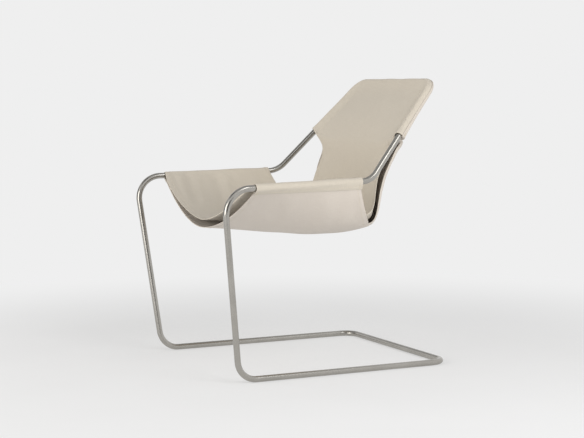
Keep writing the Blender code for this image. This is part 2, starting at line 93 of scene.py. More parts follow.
def soft_step(values: Array, low: float | Array, high: float) -> Array:
    """0 up to low, 1 from high on, and the cubic 3t^2 - 2t^3 between them."""
    share = np.clip((values - low) / (high - low), 0.0, 1.0)
    return share * share * (3.0 - 2.0 * share)


def bell(distance: Array, width: float) -> Array:
    """A bell curve of height one over a distance, exp of minus its square over the width's square."""
    return np.exp(-((distance / width) ** 2))


def ripple(along: Array, waves: tuple[Wave, ...]) -> Array:
    """The sum of sine waves along a length: height times sin(2 pi along / length + phase)."""
    return sum(w.height * np.sin(2.0 * np.pi * along / w.length + w.phase) for w in waves)


def walk(points: Array) -> Array:
    """The length walked along a line of points, from 0 at its first point."""
    return np.concatenate([[0.0], np.cumsum(np.linalg.norm(np.diff(points, axis=0), axis=1))])


def nearest(values: Array, target: float) -> int:
    """The number of the value that lies nearest to a target."""
    return int(np.argmin(np.abs(values - target)))


def facing(place: Array, target: Array) -> tuple[Array, Array, Array]:
    """The directions right, up and back of a thing that is turned to a target, back being away from it."""
    back = unit(place - target)
    right = unit(np.cross(UP, back))
    return right, np.cross(back, right), back


def placed(right: Array, above: Array, back: Array, place: Array) -> Matrix:
    """The matrix of an object that stands at a place, with its axes along three directions."""
    columns = np.stack([right, above, back, place], axis=-1)
    return Matrix(np.vstack([columns, [0.0, 0.0, 0.0, 1.0]]).tolist())


def linear(hex_colour: str) -> tuple[float, float, float, float]:
    """An sRGB hex colour in the linear light that Blender's sockets take."""
    parts = np.array([int(hex_colour[i:i + 2], 16) / 255.0 for i in (1, 3, 5)])
    light = np.where(parts <= 0.04045, parts / 12.92, ((parts + 0.055) / 1.055) ** 2.4)
    return (*light.tolist(), 1.0)


def add_node(tree: bpy.types.NodeTree, kind: str, settings: dict | None = None,
             values: dict | None = None, links: dict | None = None) -> bpy.types.Node:
    """Adds one node with its settings, its socket values and its links.

    Args:
        tree: The material's or world's node tree.
        kind: The node's type.
        settings: Property name to value.
        values: Input name or number to constant.
        links: Input name or number to the output socket that feeds it.

    Returns:
        The new node.
    """
    node = tree.nodes.new(kind)
    for name, value in (settings or {}).items():
        setattr(node, name, value)
    for name, value in (values or {}).items():
        node.inputs[name].default_value = value
    for name, source in (links or {}).items():
        tree.links.new(source, node.inputs[name])
    return node


def new_material(name: str) -> tuple[bpy.types.Material, bpy.types.NodeTree, bpy.types.Node]:
    """A new material with its node tree and its Principled shader."""
    material = bpy.data.materials.new(name)
    material.use_nodes = True
    return material, material.node_tree, material.node_tree.nodes["Principled BSDF"]


@dataclass(frozen=True)
class CanvasFinish:
    """Undyed cotton canvas in plain weave: matt, warm grey, with thick and thin yarns.

    The eye gets a soft even beige, slightly cloudy over a hand's width, and a fine grain close up.
    """

    name: str
    yarn: str
    thin_yarn: str
    cloud: str
    yarn_mm: float = 1.1
    slub_mm: float = 28.0
    cloud_mm: float = 95.0
    relief_mm: float = 0.28
    relief: float = 0.4
    crossing: float = 0.35
    slub_range: tuple[float, float] = (0.3, 0.75)
    cloud_range: tuple[float, float] = (0.35, 0.75)
    cloud_share: float = 0.55
    roughness: float = 0.93
    specular: float = 0.25
    sheen: float = 0.12
    sheen_roughness: float = 0.55

    def weave(self, tree: bpy.types.NodeTree,
              cloth_map: bpy.types.NodeSocket) -> tuple[bpy.types.NodeSocket, bpy.types.NodeSocket]:
        """Plain weave of two sets of yarns.

        The yarns' heights are |sin(pi u / pitch)| and |sin(pi v / pitch)|, and the sign of the product of
        the two sines says which one passes over.

        Args:
            tree: The material's node tree.
            cloth_map: The cover's map in metres.

        Returns:
            Which set of yarns is on top, and the height of its yarn.
        """
        split = add_node(tree, "ShaderNodeSeparateXYZ", links={0: cloth_map}).outputs
        turns = math.pi / (self.yarn_mm / 1000.0)
        sines = []
        for axis in ("X", "Y"):
            phase = add_node(tree, "ShaderNodeMath", {"operation": "MULTIPLY"}, {1: turns}, {0: split[axis]})
            sine = add_node(tree, "ShaderNodeMath", {"operation": "SINE"}, links={0: phase.outputs[0]})
            sines.append(sine.outputs[0])
        both = add_node(tree, "ShaderNodeMath", {"operation": "MULTIPLY"},
                        links={0: sines[0], 1: sines[1]})
        over = add_node(tree, "ShaderNodeMapRange", {"interpolation_type": "SMOOTHSTEP"},
                        {"From Min": -self.crossing, "From Max": self.crossing}, {"Value": both.outputs[0]})
        backs = [add_node(tree, "ShaderNodeMath", {"operation": "ABSOLUTE"}, links={0: sine})
                 for sine in sines]
        height = add_node(tree, "ShaderNodeMix", {"data_type": "FLOAT"},
                          links={"Factor": over.outputs[0], 2: backs[1].outputs[0], 3: backs[0].outputs[0]})
        return over.outputs[0], height.outputs[0]

    def thinness(self, tree: bpy.types.NodeTree, cloth_map: bpy.types.NodeSocket,
                 over: bpy.types.NodeSocket) -> bpy.types.NodeSocket:
        """How thin the yarn on top is, by noise that is drawn out along each set of yarns.

        Args:
            tree: The material's node tree.
            cloth_map: The cover's map in metres.
            over: Which set of yarns is on top.

        Returns:
            The thinness, 0 to 1.
        """
        slubs = []
        for stretch in ((1000.0 / self.yarn_mm, 1000.0 / self.slub_mm, 1.0),
                        (1000.0 / self.slub_mm, 1000.0 / self.yarn_mm, 1.0)):
            laid = add_node(tree, "ShaderNodeMapping", None, {"Scale": stretch}, {"Vector": cloth_map})
            slubs.append(add_node(tree, "ShaderNodeTexNoise", values={"Scale": 1.0, "Detail": 1.0},
                                  links={"Vector": laid.outputs[0]}))
        slub = add_node(tree, "ShaderNodeMix", {"data_type": "FLOAT"},
                        links={"Factor": over, 2: slubs[1].outputs[0], 3: slubs[0].outputs[0]})
        low, high = self.slub_range
        return add_node(tree, "ShaderNodeMapRange", None, {"From Min": low, "From Max": high},
                        {"Value": slub.outputs[0]}).outputs[0]

    def material(self) -> bpy.types.Material:
        """The woven material, on the cover's own map in metres."""
        made, tree, shader = new_material(self.name)
        cloth_map = add_node(tree, "ShaderNodeUVMap", {"uv_map": "cloth"}).outputs["UV"]
        over, height = self.weave(tree, cloth_map)
        thin = self.thinness(tree, cloth_map, over)
        yarns = add_node(tree, "ShaderNodeMix", {"data_type": "RGBA"},
                         {6: linear(self.yarn), 7: linear(self.thin_yarn)}, {"Factor": thin})
        place = add_node(tree, "ShaderNodeTexCoord").outputs["Object"]
        clouds = add_node(tree, "ShaderNodeTexNoise", links={"Vector": place},
                          values={"Scale": 1000.0 / self.cloud_mm, "Detail": 3.0})
        cloudy = add_node(tree, "ShaderNodeMapRange", links={"Value": clouds.outputs[0]},
                          values={"From Min": self.cloud_range[0], "From Max": self.cloud_range[1],
                                  "To Max": self.cloud_share})
        colour = add_node(tree, "ShaderNodeMix", {"data_type": "RGBA"}, {7: linear(self.cloud)},
                          {"Factor": cloudy.outputs[0], 6: yarns.outputs[2]})
        relief = add_node(tree, "ShaderNodeMath", {"operation": "ADD"}, links={0: height, 1: thin})
        bump = add_node(tree, "ShaderNodeBump", links={"Height": relief.outputs[0]},
                        values={"Strength": self.relief, "Distance": self.relief_mm / 1000.0})
        tree.links.new(colour.outputs[2], shader.inputs["Base Color"])
        tree.links.new(bump.outputs[0], shader.inputs["Normal"])
        shader.inputs["Roughness"].default_value = self.roughness
        shader.inputs["Specular IOR Level"].default_value = self.specular
        shader.inputs["Sheen Weight"].default_value = self.sheen
        shader.inputs["Sheen Roughness"].default_value = self.sheen_roughness
        return made


@dataclass(frozen=True)
class SteelFinish:
    """Stainless steel bar, ground and brushed along its length to a satin finish.

    The eye gets soft bright and dark bands that run along the bar, and fine lengthwise scratches close up.
    """

    name: str
    light: str = "#B9B6B0"
    dark: str = "#A29F99"
    roughness: tuple[float, float] = (0.17, 0.29)
    grit_mm: float = 0.35
    scratch_mm: float = 60.0
    scratch_range: tuple[float, float] = (0.3, 0.7)
    scratch_depth_mm: float = 0.05
    relief: float = 0.12
    haze_scale: float = 18.0

    def material(self) -> bpy.types.Material:
        """Noise drawn out along the bar, on a map of girth and length in metres."""
        made, tree, shader = new_material(self.name)
        bar_map = add_node(tree, "ShaderNodeUVMap", {"uv_map": "bar"}).outputs["UV"]
        drawn = add_node(tree, "ShaderNodeMapping", links={"Vector": bar_map},
                         values={"Scale": (1000.0 / self.grit_mm, 1000.0 / self.scratch_mm, 1.0)})
        scratches = add_node(tree, "ShaderNodeTexNoise", values={"Scale": 1.0, "Detail": 3.0},
                             links={"Vector": drawn.outputs[0]})
        rough = add_node(tree, "ShaderNodeMapRange", links={"Value": scratches.outputs[0]},
                         values={"From Min": self.scratch_range[0], "From Max": self.scratch_range[1],
                                 "To Min": self.roughness[0], "To Max": self.roughness[1]})
        place = add_node(tree, "ShaderNodeTexCoord").outputs["Object"]
        haze = add_node(tree, "ShaderNodeTexNoise", links={"Vector": place},
                        values={"Scale": self.haze_scale, "Detail": 4.0})
        tone = add_node(tree, "ShaderNodeMix", {"data_type": "RGBA"},
                        {6: linear(self.light), 7: linear(self.dark)}, {"Factor": haze.outputs[0]})
        bump = add_node(tree, "ShaderNodeBump", links={"Height": scratches.outputs[0]},
                        values={"Strength": self.relief, "Distance": self.scratch_depth_mm / 1000.0})
        tree.links.new(tone.outputs[2], shader.inputs["Base Color"])
        tree.links.new(rough.outputs[0], shader.inputs["Roughness"])
        tree.links.new(bump.outputs[0], shader.inputs["Normal"])
        shader.inputs["Metallic"].default_value = 1.0
        return made


@dataclass(frozen=True)
class ThreadFinish:
    """Undyed spun thread: a little lighter than the canvas, with slanting bands along its twist whose darker
    grooves are painted shade.
    """

    name: str
    light: str = "#D3CBBB"
    dark: str = "#B7AD9A"
    twist_scale: float = 100.0
    mottle: float = 1.5
    relief_mm: float = 0.2
    relief: float = 0.3
    roughness: float = 0.8

    def material(self) -> bpy.types.Material:
        """Slanting bands across the thread, with a slight mottle; one wave gives the twist's relief and the
        painted shade in its grooves.
        """
        made, tree, shader = new_material(self.name)
        place = add_node(tree, "ShaderNodeTexCoord").outputs["Object"]
        twist_relief_and_groove_shade = add_node(tree, "ShaderNodeTexWave", {"bands_direction": "DIAGONAL"},
                         {"Scale": self.twist_scale, "Distortion": self.mottle}, {"Vector": place})
        # Painted shade: the tone runs from dark to light with the wave's height, so the twist's grooves are
        # painted darker.
        tone = add_node(tree, "ShaderNodeMix", {"data_type": "RGBA"},
                        {6: linear(self.dark), 7: linear(self.light)}, {"Factor": twist_relief_and_groove_shade.outputs["Fac"]})
        bump = add_node(tree, "ShaderNodeBump", links={"Height": twist_relief_and_groove_shade.outputs["Fac"]},
                        values={"Strength": self.relief, "Distance": self.relief_mm / 1000.0})
        tree.links.new(tone.outputs[2], shader.inputs["Base Color"])
        tree.links.new(bump.outputs[0], shader.inputs["Normal"])
        shader.inputs["Roughness"].default_value = self.roughness
        return made


def grid_quads(numbers: Array) -> Array:
    """The quads between neighbouring rows and columns of a grid of point numbers."""
    corners = (numbers[:-1, :-1], numbers[:-1, 1:], numbers[1:, 1:], numbers[1:, :-1])
    return np.stack(corners, axis=-1).reshape(-1, 4)


def fan_quads(ring: Array, middle: int) -> Array:
    """The quads that close a ring with an even number of points round a middle point."""
    corners = (np.full(len(ring) // 2, middle), ring[0::2], ring[1::2], np.roll(ring, -1)[1::2])
    return np.stack(corners, axis=-1)


def facing_out(points: Array, quads: Array) -> Array:
    """Quads turned so that a closed shape's volume, the sum of a . (b x c) / 6, comes out positive."""
    a, b, c, d = (points[quads[:, i]] for i in range(4))
    volume = np.sum(a * np.cross(b, c)) + np.sum(a * np.cross(c, d))
    return quads if volume > 0 else quads[:, ::-1]


def put_piece(name: str, points: Array, quads: Array, material: bpy.types.Material,
              stands_for: str, corner_map: tuple[str, Array] | None = None) -> bpy.types.Object:
    """Makes one finished piece of the chair from arrays.

    Args:
        name: The piece's name.
        points: Points in metres, one row each.
        quads: Point numbers, four to a face.
        material: The piece's material.
        stands_for: The solid that the piece replaces.
        corner_map: A map's name and its values at the four corners of each face.

    Returns:
        The object, at the origin, riding on the chair's one body.
    """
    mesh = bpy.data.meshes.new(name)
    mesh.vertices.add(len(points))
    mesh.vertices.foreach_set("co", np.ascontiguousarray(points, np.float32).ravel())
    mesh.loops.add(quads.size)
    mesh.loops.foreach_set("vertex_index", np.ascontiguousarray(quads, np.int32).ravel())
    mesh.polygons.add(len(quads))
    mesh.polygons.foreach_set("loop_start", np.arange(0, quads.size, 4, dtype=np.int32))
    if corner_map:
        layer = mesh.uv_layers.new(name=corner_map[0])
        layer.data.foreach_set("uv", np.ascontiguousarray(corner_map[1], np.float32).ravel())
    mesh.update(calc_edges=True)
    mesh.validate()
    mesh.shade_smooth()
    mesh.materials.append(material)
    piece = bpy.data.objects.new(name, mesh)
    bpy.context.scene.collection.objects.link(piece)
    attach(piece, "root")
    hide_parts(stands_for)
    LOG.info("%s: %d points, %d faces", name, len(points), len(quads))
    return piece


@dataclass(frozen=True)
class BarLine:
    """The bar's centre line on the sitter's left, from the middle of the base to the weld at the top."""

    radius: float = 0.009
    base_half_width: float = 0.307
    base_rear_y: float = 0.3685
    base_front_y: float = -0.3125
    arm_front: tuple[float, float, float] = (0.3585, -0.3755, 0.555)
    arm_rear: tuple[float, float, float] = (0.322, 0.103, 0.5635)
    top: tuple[float, float, float] = (0.230, 0.3650, 0.849)
    bends: tuple[float, ...] = (0.047, 0.061, 0.071, 0.074, 0.053)
    weld_width: float = 0.005

    # The numbers of three of the corners, and the fewest steps of a bend.
    ARM_FRONT = 3
    ARM_REAR = 4
    TOP = 5
    LEAST_STEPS = 6

    def corners(self) -> Array:
        """The corner points of the half line."""
        return np.array([
            (0.0, self.base_rear_y, self.radius),
            (self.base_half_width, self.base_rear_y, self.radius),
            (self.base_half_width, self.base_front_y, self.radius),
            self.arm_front, self.arm_rear, self.top,
            (0.0, self.top[1], self.top[2]),
        ])

    def runs(self) -> Array:
        """The directions of the straight runs."""
        return unit(np.diff(self.corners(), axis=0))

    def setback(self, corner: int) -> tuple[float, float]:
        """How far before its corner a bend begins, radius times tan(turn / 2), and its turn."""
        before, after = self.runs()[corner - 1:corner + 1]
        turn = math.acos(float(before @ after))
        return self.bends[corner - 1] * math.tan(turn / 2.0), turn

    def bend_length(self, corner: int) -> float:
        """The length of a bend's centre line, radius times turn."""
        return self.bends[corner - 1] * self.setback(corner)[1]

    def bend(self, corner: int, shares: Array) -> tuple[Array, Array]:
        """Points and directions round a bend.

        Args:
            corner: The corner's number along the half line.
            shares: How far round the bend, 0 to 1.

        Returns:
            start + R (before sin a + inward (1 - cos a)), and before cos a + inward sin a.
        """
        before, after = self.runs()[corner - 1:corner + 1]
        back, turn = self.setback(corner)
        inward = unit(after - before * (before @ after))
        angle = (shares * turn)[:, None]
        start = self.corners()[corner] - before * back
        points = start + self.bends[corner - 1] * (before * np.sin(angle) + inward * (1.0 - np.cos(angle)))
        return points, before * np.cos(angle) + inward * np.sin(angle)

    def half(self, step_degrees: float) -> tuple[Array, Array]:
        """Points and directions of the half line, with a point at every step of a bend."""
        corners, runs = self.corners(), self.runs()
        points, along = [corners[:1]], [runs[:1]]
        for corner in range(1, len(corners) - 1):
            steps = max(self.LEAST_STEPS, round(math.degrees(self.setback(corner)[1]) / step_degrees))
            arc, turning = self.bend(corner, np.linspace(0.0, 1.0, steps + 1))
            points.append(arc)
            along.append(turning)
        points.append(corners[-1:] + ACROSS * self.weld_width / 2.0)
        along.append(runs[-1:])
        return np.concatenate(points), np.concatenate(along)


@dataclass
class FrameBar:
    """The bent bar and the weld that closes it."""

    line: BarLine
    finish: SteelFinish
    weld_finish: SteelFinish
    sides: int = 40
    step_degrees: float = 2.5
    weld_gap: float = 0.0003
    weld_crown: float = 0.0002
    weld_rings: int = 9

    def ring_angles(self) -> Array:
        """The angles of the points round the section."""
        return 2.0 * np.pi * (np.arange(self.sides) + 0.5) / self.sides

    def tube(self, centres: Array, asides: Array, normals: Array,
             radii: Array) -> tuple[Array, Array, Array]:
        """A round section carried along a path and closed with a flat end at each end.

        Each ring is centre + radius (aside cos a + normal sin a).

        Args:
            centres: The path's points.
            asides: A direction across the path at each point.
            normals: The other direction across it.
            radii: The section's radius at each point.

        Returns:
            The points, the quads, and a map of girth and length in metres at the quads' corners.
        """
        angle = self.ring_angles()[None, :, None]
        rings = asides[:, None] * np.cos(angle) + normals[:, None] * np.sin(angle)
        grid = centres[:, None] + rings * radii[:, None, None]
        count = len(centres)
        numbers = np.arange(count * self.sides).reshape(count, self.sides)
        quads = grid_quads(np.concatenate([numbers, numbers[:, :1]], axis=1))
        girth = np.arange(self.sides + 1) * 2.0 * np.pi * self.line.radius / self.sides
        flat = np.stack(np.meshgrid(girth, walk(centres)), axis=-1).reshape(-1, 2)
        corner_map = flat[grid_quads(np.arange(len(flat)).reshape(count, self.sides + 1))]
        last_rings = (numbers[0], numbers[-1][::-1])
        ends = [fan_quads(ring, count * self.sides + i) for i, ring in enumerate(last_rings)]
        points = np.concatenate([grid.reshape(-1, 3), centres[[0, -1]]])
        corner_map = np.concatenate([corner_map, np.zeros((sum(len(end) for end in ends), 4, 2))])
        return points, np.concatenate([quads, *ends]), corner_map

    def bar(self) -> bpy.types.Object:
        """The bar: the half line and its mirror image, with the section carried along without twisting."""
        centres, along = self.line.half(self.step_degrees)
        normals = np.tile(UP, (len(centres), 1))
        for i, direction in enumerate(along):
            carried = normals[max(i - 1, 0)]
            normals[i] = unit(carried - direction * (carried @ direction))
        asides = np.cross(normals, along)
        whole = [np.concatenate([half[::-1] * OTHER_SIDE, half[1:]]) for half in (centres, asides, normals)]
        points, quads, corner_map = self.tube(*whole, np.full(len(whole[0]), self.line.radius))
        return put_piece("bent_bar", points, quads, self.finish.material(), "frame_bar",
                         ("bar", corner_map))

    def weld(self) -> bpy.types.Object:
        """The weld: a low crowned ring, radius + crown cos(pi x / width), ground nearly flush."""
        half = self.line.weld_width / 2.0 - self.weld_gap
        x = np.linspace(half, -half, self.weld_rings)
        centres = self.line.corners()[-1] + x[:, None] * ACROSS
        radii = self.line.radius + self.weld_crown * np.cos(np.pi * x / self.line.weld_width)
        sideways = [np.tile(v, (len(x), 1)) for v in (np.array([0.0, 1.0, 0.0]), UP)]
        points, quads, corner_map = self.tube(centres, *sideways, radii)
        quads = facing_out(points, quads)
        return put_piece("ground_weld", points, quads, self.weld_finish.material(), "butt_weld",
                         ("bar", corner_map))

    def build(self) -> None:
        """Makes the bar and its weld."""
        self.bar()
        self.weld()


@dataclass
class Patch:
    """A grid of points on one layer, with what the cloth does at each of them.

    The distances are in metres: to the nearest free edge, to the nearest hemmed edge and to the nearest
    seam. Folds are the shares of the soft folds that a point takes.
    """

    points: Array
    flat: Array
    edge: Array
    hem: Array
    seam: Array
    folds: Array

    def without_first_column(self) -> "Patch":
        """The patch without the column that it shares with its neighbour."""
        return Patch(*(getattr(self, name)[:, 1:] for name in self.__dataclass_fields__))

    def without_first_row(self) -> "Patch":
        """The patch without the row that it shares with its neighbour."""
        return Patch(*(getattr(self, name)[1:] for name in self.__dataclass_fields__))


@dataclass(frozen=True)
class CoverSizes:
    """The cover's sizes: where it lies on the bar, how it hangs, and how its notches are cut.

    A pair is the front layer's value and the rear layer's, with these exceptions. A span, a rise or a fall
    is where a change begins and ends. The valley's ease is for the sides and the top, the lift of the seam's
    end is a height and a width, the rear stand is for the foot and the head.
    """

    # The cloth, and how it lies on the bar.
    cloth: float = 0.0015
    clearance: float = 0.0003
    hem_stitch: float = 0.012
    wrap: float = 0.01075
    overwrap: float = 0.01324
    # The arm sleeves and their lap.
    sleeve_start: float = 0.096
    sleeve_end_inset: float = 0.002
    flare: float = 0.0018
    flare_run: float = 0.012
    lap: float = 0.020
    lap_seam: float = 0.010
    lap_start: float = 0.005
    # The pocket: where each layer ends round the bar in degrees, its mouth, its panel and its sewn channel.
    pocket_depth: float = 0.219
    pocket_end: tuple[float, float] = (-60.0, 8.0)
    pocket_flare: tuple[float, float] = (0.0018, 0.005)
    pocket_flare_run: tuple[float, float] = (0.012, 0.05)
    pocket_gap: float = 0.00035
    crown: float = 0.002
    crown_fade: float = 0.06
    channel: float = 0.032
    channel_sewn_span: tuple[float, float] = (0.25, 0.7)
    valley_ease: tuple[float, float] = (0.006, 0.034)
    bridge_turn: float = 0.3
    seam_end_lift: tuple[float, float] = (0.012, 0.020)
    ease_run: float = 0.085
    # The curve that the seat and the lower back hang in, in the plane X = 0.
    mouth_drop: float = 0.1123
    mouth_reach: float = 0.0193
    mouth_handle: float = 0.165
    mouth_slope: float = 5.0
    seat_drop: float = 0.1405
    seat_rear_run: float = 0.080
    seat_handle: float = 0.105
    seat_rise: float = 19.0
    lumbar_foot_handle: float = 0.096
    lumbar_head_handle: float = 0.095
    lumbar_lean: float = 18.0
    # The powers by which the rows rise and bend back towards the bar.
    mouth_shape: tuple[float, float] = (1.68, 1.84)
    seat_rear_shape: tuple[float, float] = (5.5, 5.4)
    row_bend_mouth: tuple[float, float] = (6.0, 1.25)
    row_bend_rear: float = 1.2
    row_bend_waist: float = 2.4
    row_bend_back: float = 2.8
    row_knee: float = 0.66
    knee_end: float = 0.40
    # How far the rear layer hangs off the front one, and how far both stand back beside the notches.
    gap_mouth: float = 0.0241
    gap_seat: float = 0.015
    gap_lumbar: float = 0.010
    edge_set: tuple[float, float] = (0.026, 0.014)
    set_start: tuple[float, float] = (0.45, 0.30)
    set_end: float = 0.88
    front_stand: float = 0.012
    front_stand_span: tuple[float, float] = (0.5, 0.75)
    rear_stand: tuple[float, float] = (0.006, 0.016)
    rear_stand_start: float = 0.12
    rear_stand_head: float = 0.011
    rear_stand_span: tuple[float, float] = (0.5, 0.78)
    stand_end: tuple[float, float] = (0.76, 0.95)
    # Where the lower back passes into the seat and into the pocket, and how many rows that is smoothed over.
    seat_blend: float = 0.22
    blend_middle: float = 0.7
    blend_start: tuple[float, float] = (0.90, 0.86)
    joint_rows: float = 16.0
    foot_rows: float = 8.0
    # The rear layer's edge beside the notches, which curls.
    curl_radius: float = 0.0135
    curl_start: float = 0.28
    curl_pocket: float = 0.6
    curl_lean: float = 0.7
    curl_drawn: float = 0.94
    # The notches' edges.
    notch_foot: tuple[float, float] = (0.242, 0.228)
    waist: tuple[float, float] = (0.200, 0.208)
    foot_end: tuple[float, float] = (0.75, 0.55)
    foot_shape: tuple[float, float] = (1.3, 2.0)
    head_start: tuple[float, float] = (0.45, 0.72)
    head_shape: tuple[float, float] = (2.7, 2.5)
    rear_step: float = 0.010
    rear_step_span: tuple[float, float] = (0.34, 0.62)
    # Where the notch's hem goes flat, and where the seat takes soft folds.
    hem_fade: float = 0.03
    hem_fade_start: float = 0.9
    fold_rise: tuple[float, float] = (0.25, 0.7)
    fold_fall: tuple[float, float] = (0.93, 1.0)
    fold_waist: float = 0.5


class Stations(NamedTuple):
    """Places along the pocket's bar: its centre, the way off the panel, and the length from the foot."""

    centres: Array
    outward: Array
    walked: Array


class Channel(NamedTuple):
    """The cloth round the bar: the sewn valley, the slope and arc, and the arc's lengths left to its end."""

    valley: Array
    points: Array
    left: Array


def spaced(length: float, step: float, fine_start: bool, fine_end: bool) -> Array:
    """Distances from 0 to a length, close together in the hem at each end that has one."""
    low = HEM_STEPS[-1] if fine_start else 0.0
    high = length - (HEM_STEPS[-1] if fine_end else 0.0)
    parts = [HEM_STEPS[:-1]] if fine_start else []
    parts.append(np.linspace(low, high, max(3, round((high - low) / step)) + 1))
    if fine_end:
        parts.append(length - HEM_STEPS[-2::-1])
    return np.concatenate(parts)


class CoverShape:
    """The surfaces of the cover's layers, as grids that follow from the bar's line and the cover's sizes."""

    COLUMNS = 57
    WING_COLUMNS = 23
    SLEEVE_COLUMNS = 20
    TUCK_COLUMNS = 5
    WAIST_ROWS = 66
    BEND_ROWS = 18
    ROW_STEP = 0.0045
    CURL_FIRST_ROW = 2
    SMOOTHING_ROUNDS = 40
    # The steps round the bend beside a notch.
    RIM_STEPS = 25
    # The rounds in which the rows' angles at the arm are solved, and the degrees that they start from.
    SOLVING_ROUNDS = 12
    LOWER_GUESS = 45.0
    UPPER_GUESS = 120.0
    # The powers by which changes gather towards the bar.
    KNEE_POWER = 1.5
    BLEND_POWER = 8
    EASE_POWER = 6
    DRAW_POWER = 4
    # Where the rows of stitches lie, counted in rows and columns from the ends and edges of the grids.
    SEAM_INSET = 3
    TACK_ROW = 5
    TACK_COLUMNS = slice(44, 57)
    POCKET_COLUMN = -5
    POCKET_TACK = (slice(1, 11), -6)
    NOTCH_END = -4
    LOWER_MOUTH_REACH = 3
    VALLEY_OUTWARD = 0.45

    def __init__(self, line: BarLine, sizes: CoverSizes) -> None:
        """Works out the directions and stations that all the grids use."""
        self.line = line
        self.sizes = sizes
        self.corners = line.corners()
        self.arm, self.upright = line.runs()[[line.ARM_FRONT, line.ARM_REAR]]
        self.arm_over = unit(np.cross(ACROSS, self.arm))
        self.arm_out = np.cross(self.arm, self.arm_over)
        self.slope = unit((self.corners[line.TOP] - self.corners[line.ARM_REAR]) * IN_MIDDLE)
        self.face = np.cross(ACROSS, self.slope)
        arm_length = float(np.linalg.norm(self.corners[line.ARM_REAR] - self.corners[line.ARM_FRONT]))
        self.sleeve_end = arm_length - line.setback(line.ARM_REAR)[0] - sizes.sleeve_end_inset
        self.sleeve_run = self.sleeve_end - sizes.sleeve_start
        self.foot = self.corners[line.TOP] - self.upright * sizes.pocket_depth
        self.valley_depth = sizes.cloth / 2.0 + sizes.clearance
        self.column = np.linspace(0.0, 1.0, self.COLUMNS)
        self.margin = HEM_STEPS[-1]
        self.margin_steps = HEM_STEPS[-2::-1]
        self.seat = spaced(self.sleeve_run, self.ROW_STEP, True, True) / self.sleeve_run
        self.waist = np.linspace(0.0, 1.0, self.WAIST_ROWS)
        self.sides = self.side_stations()
        self.ring = self.ring_stations()

    @staticmethod
    def pick(pair: tuple[float, float], layer: Layer) -> float:
        """The value of a pair that belongs to a layer."""
        return pair[0] if layer is Layer.FRONT else pair[1]

    @staticmethod
    def slanted(degrees: float) -> Array:
        """The direction towards +Y that rises by an angle."""
        return np.array([0.0, math.cos(math.radians(degrees)), math.sin(math.radians(degrees))])

    @staticmethod
    def bezier(handles: tuple[Array, ...], share: Array) -> tuple[Array, Array]:
        """Points of a cubic curve in the plane X = 0, and its normals on the upper side."""
        t, r = share[:, None], 1.0 - share[:, None]
        a, b, c, d = handles
        points = r ** 3 * a + 3.0 * r * r * t * b + 3.0 * r * t * t * c + t ** 3 * d
        run = r * r * (b - a) + 2.0 * r * t * (c - b) + t * t * (d - c)
        return points, unit(np.cross(ACROSS, run))

    def side_stations(self) -> Stations:
        """Stations up the upright from the pocket's foot, and round the bend at the top."""
        top = self.line.TOP
        start = self.line.bend(top, np.array([0.0]))[0][0]
        length = float(np.linalg.norm(start - self.foot))
        straight = mix(self.foot, start, (spaced(length, self.ROW_STEP, True, False) / length)[:, None])
        arc, along = self.line.bend(top, np.linspace(0.0, 1.0, self.BEND_ROWS + 1)[1:])
        up_out = np.cross(self.upright, unit(np.cross(ACROSS, self.upright)))
        outward = np.concatenate([np.tile(up_out, (len(straight), 1)), np.cross(along, self.face)])
        centres = np.concatenate([straight, arc])
        return Stations(centres, outward, walk(centres))

    def ring_stations(self) -> Stations:
        """The stations of the side, and those along the top from its bend to the middle."""
        top_x = self.column[-2::-1] * self.sides.centres[-1, 0]
        centres = self.corners[self.line.TOP] * IN_MIDDLE + top_x[:, None] * ACROSS
        top = Stations(centres, np.tile(self.slope, (len(top_x), 1)), np.full(len(top_x), FAR))
        return Stations(*(np.concatenate(both) for both in zip(self.sides, top)))

    def sleeve(self, share: Array) -> Array:
        """The bar's centre along the arm sleeve."""
        along = mix(self.sizes.sleeve_start, self.sleeve_end, share)
        return self.corners[self.line.ARM_FRONT] + self.arm * along[:, None]

    def seat_handles(self) -> tuple[Array, ...]:
        """The middle of the seat, from the mouth to where the notches begin."""
        sizes = self.sizes
        front, rear = self.sleeve(np.array([0.0, 1.0]))
        mouth = np.array([0.0, front[1] - sizes.mouth_reach, front[2] - sizes.mouth_drop])
        end = np.array([0.0, rear[1] + sizes.seat_rear_run, rear[2] - sizes.seat_drop])
        return (mouth, mouth + self.slanted(-sizes.mouth_slope) * sizes.mouth_handle,
                end - self.slanted(sizes.seat_rise) * sizes.seat_handle, end)

    def waist_handles(self) -> tuple[Array, ...]:
        """The middle of the lower back, from the seat's rear to the pocket's foot."""
        sizes = self.sizes
        start = self.seat_handles()[3]
        foot = self.foot * IN_MIDDLE + self.face * (self.valley_depth + sizes.crown)
        return (start, start + self.slanted(sizes.seat_rise) * sizes.lumbar_foot_handle,
                foot - self.slanted(90.0 - sizes.lumbar_lean) * sizes.lumbar_head_handle, foot)

    def seat_middle(self, share: Array, layer: Layer) -> Array:
        """The middle points of the seat's rows: the rear layer hangs below the front one by the gap."""
        points, normals = self.bezier(self.seat_handles(), share)
        gap = mix(self.sizes.gap_mouth, self.sizes.gap_seat, share)[:, None]
        return points if layer is Layer.FRONT else points - normals * gap

    def bulge(self, share: Array) -> Array:
        """How far the rear layer stands off behind the notches: gap times 4 s^2 (1 - s)."""
        return self.sizes.gap_lumbar * 4.0 * share ** 2 * (1.0 - share)

    def waist_middle(self, share: Array, layer: Layer) -> Array:
        """The middle points of the lower back's rows."""
        points, normals = self.bezier(self.waist_handles(), share)
        closed = 2.0 * (self.valley_depth + self.sizes.crown)
        gap = mix(self.sizes.gap_seat, closed, share ** 2) + self.bulge(share)
        return points if layer is Layer.FRONT else points - normals * gap[:, None]

